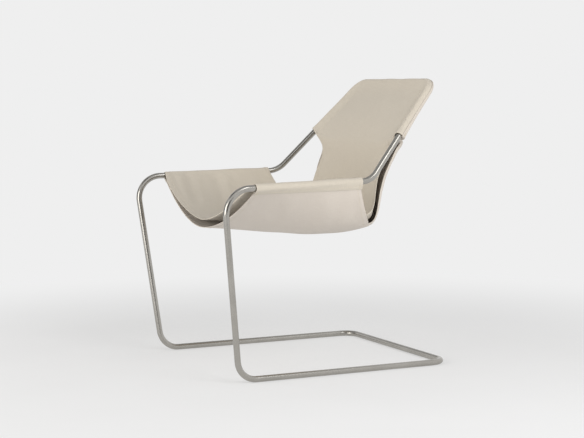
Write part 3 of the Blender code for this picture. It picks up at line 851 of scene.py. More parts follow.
    def waist_rim(self, share: Array) -> Array:
        """The bar's centre beside the notch, by length from the sleeve's end to the pocket's foot."""
        corner, inset = self.line.ARM_REAR, self.sizes.sleeve_end_inset
        steps = np.linspace(0.0, 1.0, self.RIM_STEPS)
        bent = self.line.bend(corner, steps)[0]
        round_bend = inset + steps * self.line.bend_length(corner)
        to_foot = round_bend[-1] + np.linalg.norm(self.foot - bent[-1])
        path = np.concatenate([self.sleeve(np.array([1.0])), bent, self.foot[None]])
        walked = np.concatenate([[0.0], round_bend, [to_foot]])
        return np.stack([np.interp(share * walked[-1], walked, path[:, i]) for i in range(3)], axis=-1)

    @staticmethod
    def row(middle: Array, rim: Array, share: Array, knee: Array, bend: Array, shape: Array) -> Array:
        """Rows from the middle to the rim: x by share, z by share^shape and y by a power beyond the knee."""
        middle, rim, knee = middle[:, None], rim[:, None], knee[:, None]
        beyond = np.clip((share - knee) / (1.0 - knee), 0.0, None)
        y = mix(middle[..., 1], rim[..., 1], beyond ** bend[:, None])
        z = mix(middle[..., 2], rim[..., 2], share ** shape[:, None])
        return np.stack([rim[..., 0] * share, y, z], axis=-1)

    def seat_powers(self, share: Array, layer: Layer) -> tuple[Array, Array, Array]:
        """The knee and the powers by which the seat's rows bend back and rise towards the arms."""
        sizes, late = self.sizes, share ** 2
        bend = mix(self.pick(sizes.row_bend_mouth, layer), sizes.row_bend_rear, late)
        rise = mix(self.pick(sizes.mouth_shape, layer), self.pick(sizes.seat_rear_shape, layer), late)
        return sizes.row_knee * late, bend, rise

    def waist_powers(self, share: Array, layer: Layer) -> tuple[Array, Array, Array]:
        """The same for the rows of the lower back, where the knee goes away."""
        sizes = self.sizes
        late = np.minimum(1.0, share / sizes.knee_end) ** self.KNEE_POWER
        rise = mix(self.pick(sizes.seat_rear_shape, layer), sizes.row_bend_back, share)
        return sizes.row_knee * (1.0 - late), mix(sizes.row_bend_rear, sizes.row_bend_waist, late), rise

    def lower_rim(self, share: Array) -> tuple[Array, Array, Array]:
        """Where the rear layer slips under the lap, the angle of its wall there, and the way down it."""
        sizes, centre = self.sizes, self.sleeve(share)
        middle, rise = self.seat_middle(share, Layer.REAR), self.seat_powers(share, Layer.REAR)[2]
        angle = np.full(len(share), math.radians(self.LOWER_GUESS))
        for _ in range(self.SOLVING_ROUNDS):
            cos, sin = np.cos(angle)[:, None], np.sin(angle)[:, None]
            down = -self.arm_out * cos - self.arm_over * sin
            side = self.arm_out * sin - self.arm_over * cos
            rim = centre + side * (sizes.wrap - sizes.cloth - sizes.clearance) + down * sizes.lap
            angle = np.arctan(rise * (rim[:, 2] - middle[:, 2]) / rim[:, 0])
        return rim, angle, down

    def upper_rim(self, share: Array) -> tuple[Array, Array]:
        """Where the front layer meets the sleeve on the bar, and its angle round the bar there."""
        centre = self.sleeve(share)
        middle, rise = self.seat_middle(share, Layer.FRONT), self.seat_powers(share, Layer.FRONT)[2]
        angle = np.full(len(share), math.radians(self.UPPER_GUESS))
        for _ in range(self.SOLVING_ROUNDS):
            rim = centre + self.arm_round(angle) * self.sizes.wrap
            angle = np.pi / 2.0 + np.arctan(rise * (rim[:, 2] - middle[:, 2]) / rim[:, 0])
        return rim, angle

    def arm_round(self, angle: Array) -> Array:
        """Directions round the arm's bar: outwards cos a + over sin a."""
        return self.arm_out * np.cos(angle)[..., None] + self.arm_over * np.sin(angle)[..., None]

    def notch_share(self, share: Array, rim_x: Array, layer: Layer) -> Array:
        """The notch's edge as a share of the way to the bar: wide at its foot and at the pocket."""
        sizes = self.sizes
        waist, foot = self.pick(sizes.waist, layer) / rim_x, self.pick(sizes.notch_foot, layer) / rim_x
        if layer is Layer.REAR:
            waist = waist + sizes.rear_step / rim_x * soft_step(share, *sizes.rear_step_span)
        head = self.pick(sizes.head_start, layer)
        low = np.clip(1.0 - share / self.pick(sizes.foot_end, layer), 0.0, None)
        high = np.clip((share - head) / (1.0 - head), 0.0, None) ** self.pick(sizes.head_shape, layer)
        return waist + (foot - waist) * low ** self.pick(sizes.foot_shape, layer) + (1.0 - waist) * high

    def across(self, edge_x: Array) -> Array:
        """The x of the middle strip's columns: even up to a margin, then fine up to the edge."""
        inner = self.column * (edge_x[:, None] - self.margin)
        return np.concatenate([inner, edge_x[:, None] - self.margin_steps], axis=1)

    @staticmethod
    def flat_map(points: Array, start_u: Array, along: Array) -> Array:
        """A map of a grid in metres: length across the rows from a start, and length along the rows."""
        across = np.cumsum(np.linalg.norm(np.diff(points, axis=1), axis=2), axis=1)
        u = start_u[:, None] + np.concatenate([np.zeros((len(points), 1)), across], axis=1)
        return np.stack([u, np.broadcast_to(along[:, None], u.shape)], axis=-1)

    def stand_off(self, layer: Layer) -> Array:
        """How far the notch's edge stands back from the lower back's curve, the rear layer's further."""
        sizes, waist = self.sizes, self.waist
        if layer is Layer.FRONT:
            stand = sizes.front_stand * soft_step(waist, *sizes.front_stand_span)
        else:
            stand = mix(*sizes.rear_stand, waist) * soft_step(waist, 0.0, sizes.rear_stand_start)
            stand = stand + sizes.rear_stand_head * soft_step(waist, *sizes.rear_stand_span)
        return stand * (1.0 - soft_step(waist, self.pick(sizes.stand_end, layer), 1.0))

    def lower_back(self, layer: Layer, seat_rear: Array) -> tuple[Array, Array, Array, Array]:
        """The lower back between the notches, from the seat's rear to the pocket's foot.

        Each row stands back by the stand-off times the cube of the share of the way to the notch's edge.
        The first and the last rows are moved onto the seat and the pocket, and the others less and less.

        Args:
            layer: Which layer.
            seat_rear: The seat's last row.

        Returns:
            The rows, the x of their points, the x of the notch's edge, and the x of the bar.
        """
        sizes, waist = self.sizes, self.waist
        set_start = self.pick(sizes.set_start, layer)
        set_back = self.pick(sizes.edge_set, layer) * soft_step(waist, set_start, sizes.set_end)
        lift = layer.value * self.valley_depth * waist - set_back
        if layer is Layer.REAR:
            lift = lift - self.bulge(waist)
        rim = self.waist_rim(waist) + self.face * lift[:, None]
        edge_x = self.notch_share(waist, rim[:, 0], layer) * rim[:, 0]
        x = self.across(edge_x)
        powers = self.waist_powers(waist, layer)
        rows = self.row(self.waist_middle(waist, layer), rim, x / rim[:, :1], *powers)
        behind = -self.bezier(self.waist_handles(), waist)[1]
        stand = self.stand_off(layer)[:, None] * (x / edge_x[:, None]) ** 3
        rows = rows + stand[..., None] * behind[:, None]
        from_seat = 1.0 - soft_step(waist, 0.0, sizes.seat_blend)
        rows = rows + from_seat[:, None, None] * (seat_rear - rows[0])
        panel, slope_line = self.panel(layer)
        foot_row = np.concatenate([panel[0] - self.ease(np.zeros(1), self.column)[0], slope_line])
        outer = np.linspace(0.0, 1.0, x.shape[1]) ** self.BLEND_POWER
        blend_from = mix(sizes.blend_middle, self.pick(sizes.blend_start, layer), outer)
        to_foot = soft_step(waist[:, None], blend_from, 1.0)
        rows = rows + to_foot[..., None] * (foot_row - rows[-1])
        rows = rows + self.ease(walk(rows[::-1, 0])[::-1], np.minimum(1.0, x / rim[:, :1]))
        rows[-1, :self.COLUMNS] = panel[0]
        return rows, x, edge_x, rim[:, 0]

    def smoothed(self, rows: Array, layer: Layer) -> Array:
        """Rows smoothed along the spine where the seat ends, and on the rear layer at the pocket's foot.

        Each round moves a point towards the middle of its two neighbours, by a bell curve over the rows.
        """
        order = np.arange(len(rows))
        near = bell(order - len(self.seat), self.sizes.joint_rows)
        if layer is Layer.REAR:
            near = np.maximum(near, bell(order - len(rows), self.sizes.foot_rows))
        near = near[1:-1, None, None]
        for _ in range(self.SMOOTHING_ROUNDS):
            rows[1:-1] += near * (0.25 * rows[:-2] + 0.25 * rows[2:] - 0.5 * rows[1:-1])
        return rows

    def fold_share(self, share: Array) -> Array:
        """The share of the soft folds that a point takes: none in the middle and none at the bar."""
        return soft_step(share, *self.sizes.fold_rise) * (1.0 - soft_step(share, *self.sizes.fold_fall))

    def hem_fade(self, waist: Array) -> Array:
        """How far off the notch's hem counts as it goes flat towards the pocket's foot."""
        return self.sizes.hem_fade * soft_step(waist, self.sizes.hem_fade_start, 1.0)[:, None]

    def middle_strip(self, layer: Layer) -> Patch:
        """The seat between the notches' feet and the lower back, as one grid."""
        seat, waist = self.seat, self.waist[1:]
        rim = self.upper_rim(seat)[0] if layer is Layer.FRONT else self.lower_rim(seat)[0]
        edge_x = self.pick(self.sizes.notch_foot, layer) / rim[-1, 0] * rim[:, 0]
        x = self.across(edge_x)
        rows = self.row(self.seat_middle(seat, layer), rim, x / rim[:, :1], *self.seat_powers(seat, layer))
        back_rows, back_x, back_edge, back_rim = self.lower_back(layer, rows[-1])
        rows = self.smoothed(np.concatenate([rows, back_rows[1:]]), layer)
        rear = np.hypot(edge_x[:, None] - x, ((1.0 - seat) * self.sleeve_run)[:, None])
        ends = np.minimum((seat * self.sleeve_run)[:, None], rear)
        notch = back_edge[1:, None] - back_x[1:]
        hem = np.concatenate([ends, notch + self.hem_fade(waist)])
        folds = self.fold_share(np.concatenate([x / rim[:, :1], back_x[1:] / back_rim[1:, None]]))
        folds[len(seat):] *= (1.0 - soft_step(waist, 0.0, self.sizes.fold_waist))[:, None]
        flat = self.flat_map(rows, np.zeros(len(rows)), walk(rows[:, 0]))
        return Patch(rows, flat, np.concatenate([ends, notch]), hem, np.full(hem.shape, FAR), folds)

    def ease(self, distance: Array, share: Array) -> Array:
        """How far the back gives at the pocket's foot, so that it bends there over a length.

        Args:
            distance: The length along the back from the pocket's foot.
            share: The share of the way to the bar.

        Returns:
            Offsets backwards, turn / (4 L) times (L - distance)^2, which die out towards the bar.
        """
        run = self.sizes.ease_run
        turn = math.atan2(self.slope[1], self.slope[2]) - math.radians(self.sizes.lumbar_lean)
        give = turn / (4.0 * run) * np.clip(run - distance, 0.0, None) ** 2
        return (give[:, None] * (1.0 - share ** self.EASE_POWER))[..., None] * -self.face

    def bridge(self, distance: Array, run: float | Array) -> Array:
        """How far the cloth bridges the valley beside the bar: turn / (4 L) times (L - distance)^2."""
        return self.sizes.bridge_turn / (4.0 * run) * np.clip(run - distance, 0.0, None) ** 2

    def valley_run(self, valley: Array) -> Array:
        """The length that the valley is bridged over: short at the sides, (L - d)^2 / L near the top."""
        short, long = self.sizes.valley_ease
        top = self.corners[self.line.TOP] - self.slope * self.sizes.channel
        below = np.maximum((top - valley) @ self.slope, 0.0)
        return np.maximum(short, np.clip(long - below, 0.0, None) ** 2 / long)[:, None]

    def pocket_radius(self, walked: Array, layer: Layer) -> Array:
        """How far the cloth lies off the bar's centre: at the foot it flares, by exp(-walked / run)."""
        sizes = self.sizes
        flare, run = self.pick(sizes.pocket_flare, layer), self.pick(sizes.pocket_flare_run, layer)
        return self.pick((sizes.wrap, sizes.overwrap), layer) + flare * np.exp(-walked / run)

    def drawn_in(self, walked: Array) -> Array:
        """How far the rear layer's end is drawn in, to lie on the front layer at the pocket's seam."""
        front, rear = (self.pocket_radius(walked, layer) for layer in Layer)
        return rear - (front + self.sizes.cloth + self.sizes.pocket_gap)

    def channel(self, layer: Layer) -> Channel:
        """The cloth round the pocket's bar: from the sewn valley up a straight slope, then round the bar.

        The arc is centre + radius (outward cos a + away sin a), and its end on the rear layer is drawn in.
        At the foot the rear layer's valley lifts off the seam by a bell curve.
        """
        sizes = self.sizes
        centres, outward, walked = self.ring
        away = self.face * layer.value
        radius = self.pocket_radius(walked, layer)[:, None]
        reach = radius
        depth = np.full((len(walked), 1), self.valley_depth)
        if layer is Layer.REAR:
            lift, run = sizes.seam_end_lift
            depth = depth + lift * bell(walked, run)[:, None]
            reach = radius - self.drawn_in(walked)[:, None] * ARC_SHARES ** self.DRAW_POWER
        start = np.pi / 2.0 + np.arcsin(radius / sizes.channel)
        end = math.radians(self.pick(sizes.pocket_end, layer))
        valley = centres - outward * sizes.channel + away * depth
        tangent = centres + radius * (outward * np.cos(start) + away * np.sin(start))
        climb = 1.0 - self.margin_steps / self.margin
        slope = mix(valley[:, None], tangent[:, None], climb[:, None])
        slope = slope + self.bridge(climb * sizes.channel, self.valley_run(valley))[..., None] * away
        angle = mix(start, end, ARC_SHARES)[..., None]
        arc = centres[:, None] + reach[..., None] * (outward[:, None] * np.cos(angle) + away * np.sin(angle))
        left = (1.0 - ARC_SHARES) * (start - end) * radius
        return Channel(valley, np.concatenate([slope, arc], axis=1), left)

    def panel(self, layer: Layer) -> tuple[Array, Array]:
        """The pocket's crowned panel, and the slope's points at its foot.

        A row runs level from the middle to the valley; its crown is crown (1 - c^2.8), fading at the top.
        """
        sizes, channel = self.sizes, self.channel(layer)
        valley = channel.valley[:len(self.sides.centres)]
        level = np.ones(self.COLUMNS)
        rows = valley[:, None] * np.stack([self.column, level, level], axis=-1)
        below = ((valley[-1] - valley) @ self.slope)[:, None]
        arched = 1.0 - self.column ** sizes.row_bend_back
        crown = sizes.crown * soft_step(below, 0.0, sizes.crown_fade) * arched
        beside = (1.0 - self.column) * valley[:, :1]
        lift = np.maximum(self.bridge(beside, sizes.valley_ease[0]),
                          self.bridge(np.maximum(below, 0.0), sizes.valley_ease[1]))
        rows = rows + (crown + lift)[..., None] * self.face * layer.value
        return rows + self.ease(self.sides.walked, self.column), channel.points[0, :len(self.margin_steps)]

    def edge_curl(self, strip: Patch, foot_arc: Array) -> Patch:
        """The rear layer's edge beside the notch, which keeps the curl that it has round the bar above.

        Each row goes on from the lower back's edge as an arc, edge + r (along sin a + forward (1 - cos a)).

        Args:
            strip: The middle strip; its distances to the edge grow by the curl's length.
            foot_arc: The pocket's arc at its foot, where the curl ends.

        Returns:
            The curl's grid, without the column that it shares with the strip.
        """
        sizes, share = self.sizes, ARC_SHARES
        first = len(self.seat) + self.CURL_FIRST_ROW
        rows = strip.points[first:]
        waist = self.waist[-len(rows):]
        lean = soft_step(waist, sizes.curl_lean, 1.0)[:, None]
        inner = unit(mix(self.bezier(self.waist_handles(), waist)[1], self.face, lean))
        along = unit(rows[:, -1] - rows[:, -4])
        tilt = np.sum(along * inner, axis=1)
        forward = unit(inner - along * tilt[:, None])
        turn = np.pi / 2.0 - math.radians(sizes.pocket_end[1]) - np.arcsin(tilt)
        at_pocket = soft_step(waist, sizes.curl_pocket, 1.0)
        radius = mix(sizes.curl_radius, sizes.overwrap + sizes.pocket_flare[1], at_pocket)
        radius = radius * soft_step(waist, 0.0, sizes.curl_start)
        at_foot = soft_step(waist, sizes.curl_drawn, 1.0)[:, None]
        drawn = self.drawn_in(np.zeros(1)) * at_foot * share ** self.DRAW_POWER
        angle = (turn[:, None] * share)[..., None]
        points = along[:, None] * np.sin(angle) + forward[:, None] * (1.0 - np.cos(angle))
        points = rows[:, -1:] + (radius[:, None] - drawn)[..., None] * points
        points[-1] = foot_arc
        length = (radius * turn)[:, None]
        strip.edge[first:] += length
        flat = np.stack([strip.flat[first:, -1:, 0] + length * share,
                         np.broadcast_to(strip.flat[first:, -1:, 1], points.shape[:2])], axis=-1)
        hem = np.broadcast_to(self.hem_fade(waist), points.shape[:2])
        return Patch(points, flat, length * (1.0 - share), hem, np.full(hem.shape, FAR), np.zeros(hem.shape))

    def wings(self, layer: Layer, strip: Patch) -> Patch:
        """The seat's sides up to the arms, where the front layer goes round the bar and hangs as the lap.

        The rear layer is tucked up behind the lap instead.

        Args:
            layer: Which layer.
            strip: The middle strip, whose edge the sides go on from.

        Returns:
            The grid, with the column that it shares with the strip.
        """
        sizes, seat = self.sizes, self.seat
        high_rim, start = self.upper_rim(seat)
        low_rim, wall, down = self.lower_rim(seat)
        rim = high_rim if layer is Layer.FRONT else low_rim
        first = strip.points[:len(seat), -1]
        reach = mix((first[:, 0] / rim[:, 0])[:, None], 1.0, np.linspace(0.0, 1.0, self.WING_COLUMNS))
        side = self.row(self.seat_middle(seat, layer), rim, reach, *self.seat_powers(seat, layer))
        side[:, 0] = first
        to_end = (np.minimum(seat, 1.0 - seat) * self.sleeve_run)[:, None]
        if layer is Layer.FRONT:
            turned = np.linspace(0.0, 1.0, self.SLEEVE_COLUMNS + 1)[1:]
            turn = mix(start[:, None], (wall - np.pi / 2.0)[:, None], turned)
            opened = np.exp(-to_end / sizes.flare_run) * np.linspace(0.0, 1.0, self.SLEEVE_COLUMNS)
            radius = sizes.wrap + sizes.flare * opened
            arc = self.sleeve(seat)[:, None] + radius[..., None] * self.arm_round(turn)
            points = np.concatenate([side, arc, arc[:, -1:] + down[:, None] * LAP_STEPS[:, None]], axis=1)
            to_lap, to_seam = sizes.lap - LAP_STEPS, np.abs(LAP_STEPS - sizes.lap_seam)
        else:
            tuck = np.linspace(0.0, sizes.lap - sizes.lap_start, self.TUCK_COLUMNS + 1)[1:]
            points = np.concatenate([side, low_rim[:, None] - down[:, None] * tuck[:, None]], axis=1)
            to_lap, to_seam = tuck[-1] - tuck, np.full(self.TUCK_COLUMNS, FAR)
        before = np.full(points.shape[1] - len(to_lap), FAR)
        ends = np.broadcast_to(to_end, points.shape[:2])
        edge = np.minimum(ends, np.concatenate([before, to_lap]))
        seam = np.broadcast_to(np.concatenate([before, to_seam]), ends.shape)
        folds = np.zeros(ends.shape)
        folds[:, :self.WING_COLUMNS] = self.fold_share(reach)
        flat = self.flat_map(points, strip.flat[:len(seat), -1, 0], strip.flat[:len(seat), 0, 1])
        return Patch(points, flat, edge, ends, seam, folds)

    def unsewn(self, outward: Array) -> Array:
        """A distance to add to the channel's seam where it isn't sewn, along the top."""
        return FAR * (1.0 - soft_step(outward[:, :1], *self.sizes.channel_sewn_span))

    def pocket_panel(self, layer: Layer, valley: Array, start: float) -> Patch:
        """The pocket's panel as a grid, mapped on from the length of the strip below it."""
        panel = self.panel(layer)[0]
        flat = self.flat_map(panel, np.zeros(len(panel)), start + walk(panel[:, 0]))
        seam = np.linalg.norm(panel - valley[:len(panel), None], axis=-1) + self.unsewn(self.sides.outward)
        clear = np.full(seam.shape, FAR)
        return Patch(panel, flat, clear, clear, seam, np.zeros(seam.shape))

    def pocket_band(self, layer: Layer, channel: Channel, starts: Array, flat_starts: Array) -> Patch:
        """The cloth of the channel as a grid, up the side and along half the top.

        Args:
            layer: Which layer.
            channel: The layer's channel.
            starts: The points in the valley that the rows start from.
            flat_starts: The map's values there.

        Returns:
            The grid, without the column in the valley.
        """
        points, outward, slope_count = channel.points, self.ring.outward, len(self.margin_steps)
        across = np.diff(np.concatenate([starts[:, None], points], axis=1), axis=1)
        lengths = np.cumsum(np.linalg.norm(across, axis=2), axis=1)
        flat_out = np.stack([outward @ ACROSS, outward @ self.slope], axis=-1)
        flat = flat_starts[:, None] + lengths[..., None] * flat_out[:, None]
        hem = np.full(lengths.shape, FAR)
        if layer is Layer.FRONT:
            back = np.zeros(points.shape[1])
            back[:slope_count] = self.margin_steps * self.sizes.channel / self.margin
            hem = np.hypot(self.ring.walked[:, None], back)
        to_end = np.full(lengths.shape, FAR)
        to_end[:, slope_count:] = channel.left
        seam = lengths + self.unsewn(outward)
        return Patch(points, flat, np.minimum(hem, to_end), hem, seam, np.zeros(hem.shape))

    def seam_lines(self, layer: Layer, strip: Array, wing: Array, valley: Array,
                   band: Array) -> dict[str, Array]:
        """The lines of points that the rows of stitches follow.

        Args:
            layer: Which layer.
            strip: The numbers of the middle strip's points.
            wing: Those of the seat's side.
            valley: Those of the valley, from the foot to the top's middle.
            band: Those of the channel.

        Returns:
            The points' numbers, by the seam's name.
        """
        sizes, inset = self.sizes, self.SEAM_INSET
        mouth_row = nearest(self.seat * self.sleeve_run, sizes.hem_stitch)
        rear_row = nearest((1.0 - self.seat) * self.sleeve_run, sizes.hem_stitch)
        notch = strip[rear_row:self.NOTCH_END, self.COLUMNS + nearest(self.margin_steps, sizes.hem_stitch)]
        reach = self.WING_COLUMNS + (0 if layer is Layer.FRONT else self.LOWER_MOUTH_REACH)
        sewn = int(np.sum(self.ring.outward[:, 0] > self.VALLEY_OUTWARD))
        lines = {
            "mouth": np.concatenate([strip[mouth_row], wing[mouth_row, 1:reach]]),
            "notch": np.concatenate([wing[rear_row, reach:0:-1], notch[1:]]),
            "valley": valley[inset:sewn],
            "pocket": band[inset:, self.POCKET_COLUMN],
        }
        if layer is Layer.REAR:
            return lines | {"pocket_tack": band[self.POCKET_TACK]}
        lap_seam = self.WING_COLUMNS + self.SLEEVE_COLUMNS + nearest(LAP_STEPS, sizes.lap_seam)
        return lines | {
            "arm": wing[inset:-inset, lap_seam],
            "arm_front_tack": wing[self.TACK_ROW, self.TACK_COLUMNS],
            "arm_rear_tack": wing[-1 - self.TACK_ROW, self.TACK_COLUMNS],
        }

    def build_layer(self, layer: Layer) -> "LayerMesh":
        """All the grids of one layer, joined into the half of its middle surface with its seam lines."""
        mesh = LayerMesh()
        strip, channel = self.middle_strip(layer), self.channel(layer)
        curl = None
        if layer is Layer.REAR:
            curl = self.edge_curl(strip, channel.points[0, len(self.margin_steps):])
        numbers = mesh.add(strip)
        foot = numbers[-1, self.COLUMNS:]
        if curl is not None:
            curl_numbers = mesh.add(curl, first_column=numbers[-len(curl.points):, -1])
            foot = np.concatenate([foot, curl_numbers[-1, 1:]])
        wings = self.wings(layer, strip).without_first_column()
        wing_numbers = mesh.add(wings, first_column=numbers[:len(self.seat), -1])
        panel = self.pocket_panel(layer, channel.valley, strip.flat[-1, 0, 1]).without_first_row()
        panel_numbers = mesh.add(panel, first_row=numbers[-1, :self.COLUMNS])
        valley = np.concatenate([panel_numbers[:, -1], panel_numbers[-1, -2::-1]])
        starts, flat_starts = mesh.gathered("points")[valley], mesh.gathered("flat")[valley]
        band = mesh.add_band(self.pocket_band(layer, channel, starts, flat_starts), valley, foot)
        mesh.lines = self.seam_lines(layer, numbers, wing_numbers, valley, band)
        return mesh


class LayerMesh:
    """One layer's middle surface, joined from grids as a half and then mirrored."""

    # How near to the plane X = 0 a point counts as lying in it.
    ON_MIDDLE = 1e-7

    def __init__(self) -> None:
        """Starts an empty mesh."""
        self.parts: list[Patch] = []
        self.quads: list[Array] = []
        self.count = 0
        self.lines: dict[str, Array] = {}
        self.other: Array = np.zeros(0, int)

    def gathered(self, name: str) -> Array:
        """One of the patches' values for all the points so far."""
        grids = [getattr(part, name) for part in self.parts]
        return np.concatenate([grid.reshape(-1, *grid.shape[2:]) for grid in grids])

    def number(self, patch: Patch) -> Array:
        """Stores a patch and gives its points' numbers as a grid."""
        shape = patch.points.shape[:2]
        numbers = self.count + np.arange(shape[0] * shape[1]).reshape(shape)
        self.parts.append(patch)
        self.count += numbers.size
        return numbers

    def add(self, patch: Patch, first_row: Array | None = None,
            first_column: Array | None = None) -> Array:
        """Adds a patch, joined to points that are there already as its first row or column.

        Args:
            patch: The new points.
            first_row: Numbers of the row that comes before it.
            first_column: Numbers of the column that comes before it.

        Returns:
            The numbers of the whole grid, with the shared row or column.
        """
        numbers = self.number(patch)
        if first_row is not None:
            numbers = np.concatenate([first_row[None], numbers])
        if first_column is not None:
            numbers = np.concatenate([first_column[:, None], numbers], axis=1)
        self.quads.append(grid_quads(numbers))
        return numbers

    def add_band(self, patch: Patch, valley: Array, foot: Array) -> Array:
        """Adds the channel round the pocket, whose slope at the foot is the lower back's own last row."""
        numbers = self.number(patch)
        numbers[0, :len(foot)] = foot
        numbers = np.concatenate([valley[:, None], numbers], axis=1)
        self.quads.append(grid_quads(numbers))
        return numbers

    def whole(self) -> dict[str, Array]:
        """The half and its mirror image as one surface, without the points that nothing uses.

        Returns:
            The points, quads, map, distances and normals; the seam lines are renumbered to match.
        """
        data = {name: self.gathered(name) for name in Patch.__dataclass_fields__}
        quads = np.concatenate(self.quads)
        used = np.unique(quads)
        renumber = np.full(self.count, -1)
        renumber[used] = np.arange(len(used))
        quads = renumber[quads]
        data = {name: values[used] for name, values in data.items()}
        self.lines = {name: renumber[line] for name, line in self.lines.items()}
        middle = np.abs(data["points"][:, 0]) < self.ON_MIDDLE
        data["points"][middle, 0] = 0.0
        self.other = np.where(middle, np.arange(len(used)), len(used) + np.cumsum(~middle) - 1)
        mirrored = {name: values[~middle].copy() for name, values in data.items()}
        mirrored["points"] *= OTHER_SIDE
        mirrored["flat"] *= np.array([-1.0, 1.0])
        data = {name: np.concatenate([values, mirrored[name]]) for name, values in data.items()}
        data["quads"] = np.concatenate([quads, self.other[quads][:, ::-1]])
        data["normals"] = self.normals(data["points"], data["quads"])
        return data

    @staticmethod
    def normals(points: Array, quads: Array) -> Array:
        """The normals at the points: the quads' diagonals crossed, summed and brought to length one."""
        a, b, c, d = (points[quads[:, i]] for i in range(4))
        faces = np.cross(c - a, d - b)
        total = np.zeros_like(points)
        for corner in range(4):
            np.add.at(total, quads[:, corner], faces)
        return unit(total)

    @staticmethod
    def rim(quads: Array) -> Array:
        """The edges that belong to one quad only, in the quads' own direction."""
        edges = np.stack([quads, np.roll(quads, -1, axis=1)], axis=-1).reshape(-1, 2)
        _, first, uses = np.unique(np.sort(edges, axis=1), axis=0, return_index=True, return_counts=True)
        return edges[first[uses == 1]]


@dataclass(frozen=True)
class Stitching:
    """Lockstitches of undyed thread: short plump stitches that dip into the cloth at both ends."""

    pitch: float = 0.0042
    length: float = 0.0036
    width: float = 0.0012
    height: float = 0.0008
    dip: float = 0.7
    lift: float = 0.25
    crosswise: bool = False

    def shape(self) -> tuple[Array, Array]:
        """One six-sided stitch, thinner and lower by the fourth power of the way to its ends."""
        u = np.array([-1.0, -0.8, -0.3, 0.3, 0.8, 1.0])[:, None]
        angle = 2.0 * np.pi * np.arange(6) / 6.0
        dip = self.dip * u ** 4
        along = np.broadcast_to(u * self.length / 2.0, (6, 6))
        across = (1.0 - dip) * np.cos(angle) * self.width / 2.0
        lift = (1.0 - dip) * np.sin(angle) * self.height / 2.0 + self.height * (self.lift - dip)
        numbers = np.arange(36).reshape(6, 6)
        sides = grid_quads(np.concatenate([numbers, numbers[:, :1]], axis=1))
        ends = np.array([[0, 3, 2, 1], [0, 5, 4, 3], [30, 31, 32, 33], [30, 33, 34, 35]])
        points = np.stack([along, across, lift], axis=-1).reshape(-1, 3)
        return points, facing_out(points, np.concatenate([sides, ends]))

    def along(self, line: Array, normals: Array) -> tuple[Array, Array]:
        """Stitches along a line on the cloth.

        Args:
            line: Points of the seam.
            normals: The cloth's normals there, on the side that shows.

        Returns:
            The points and quads of all the stitches.
        """
        walked = walk(line)
        count = max(2, int(walked[-1] / self.pitch))
        at = (np.arange(count) + 0.5) * walked[-1] / count
        place = np.stack([np.interp(at, walked, line[:, i]) for i in range(3)], axis=-1)
        normal = unit(np.stack([np.interp(at, walked, normals[:, i]) for i in range(3)], axis=-1))
        run = np.stack([np.interp(at, walked, np.gradient(line[:, i], walked)) for i in range(3)], axis=-1)
        run = unit(run - normal * np.sum(run * normal, axis=1, keepdims=True))
        beside = np.cross(normal, run)
        if self.crosswise:
            run, beside = beside, -run
        local, quads = self.shape()
        axes = np.stack([run, beside, normal], axis=1)
        points = place[:, None] + local @ axes
        numbered = quads[None] + (np.arange(count) * len(local))[:, None, None]
        return points.reshape(-1, 3), numbered.reshape(-1, 4)


class ClothPiece(NamedTuple):
    """A finished layer: its object, half mesh, shown points, their normals, and its flat cut's size."""

    piece: bpy.types.Object
    mesh: LayerMesh
    shown: Array
    normals: Array
    width: float
    length: float
    area: float


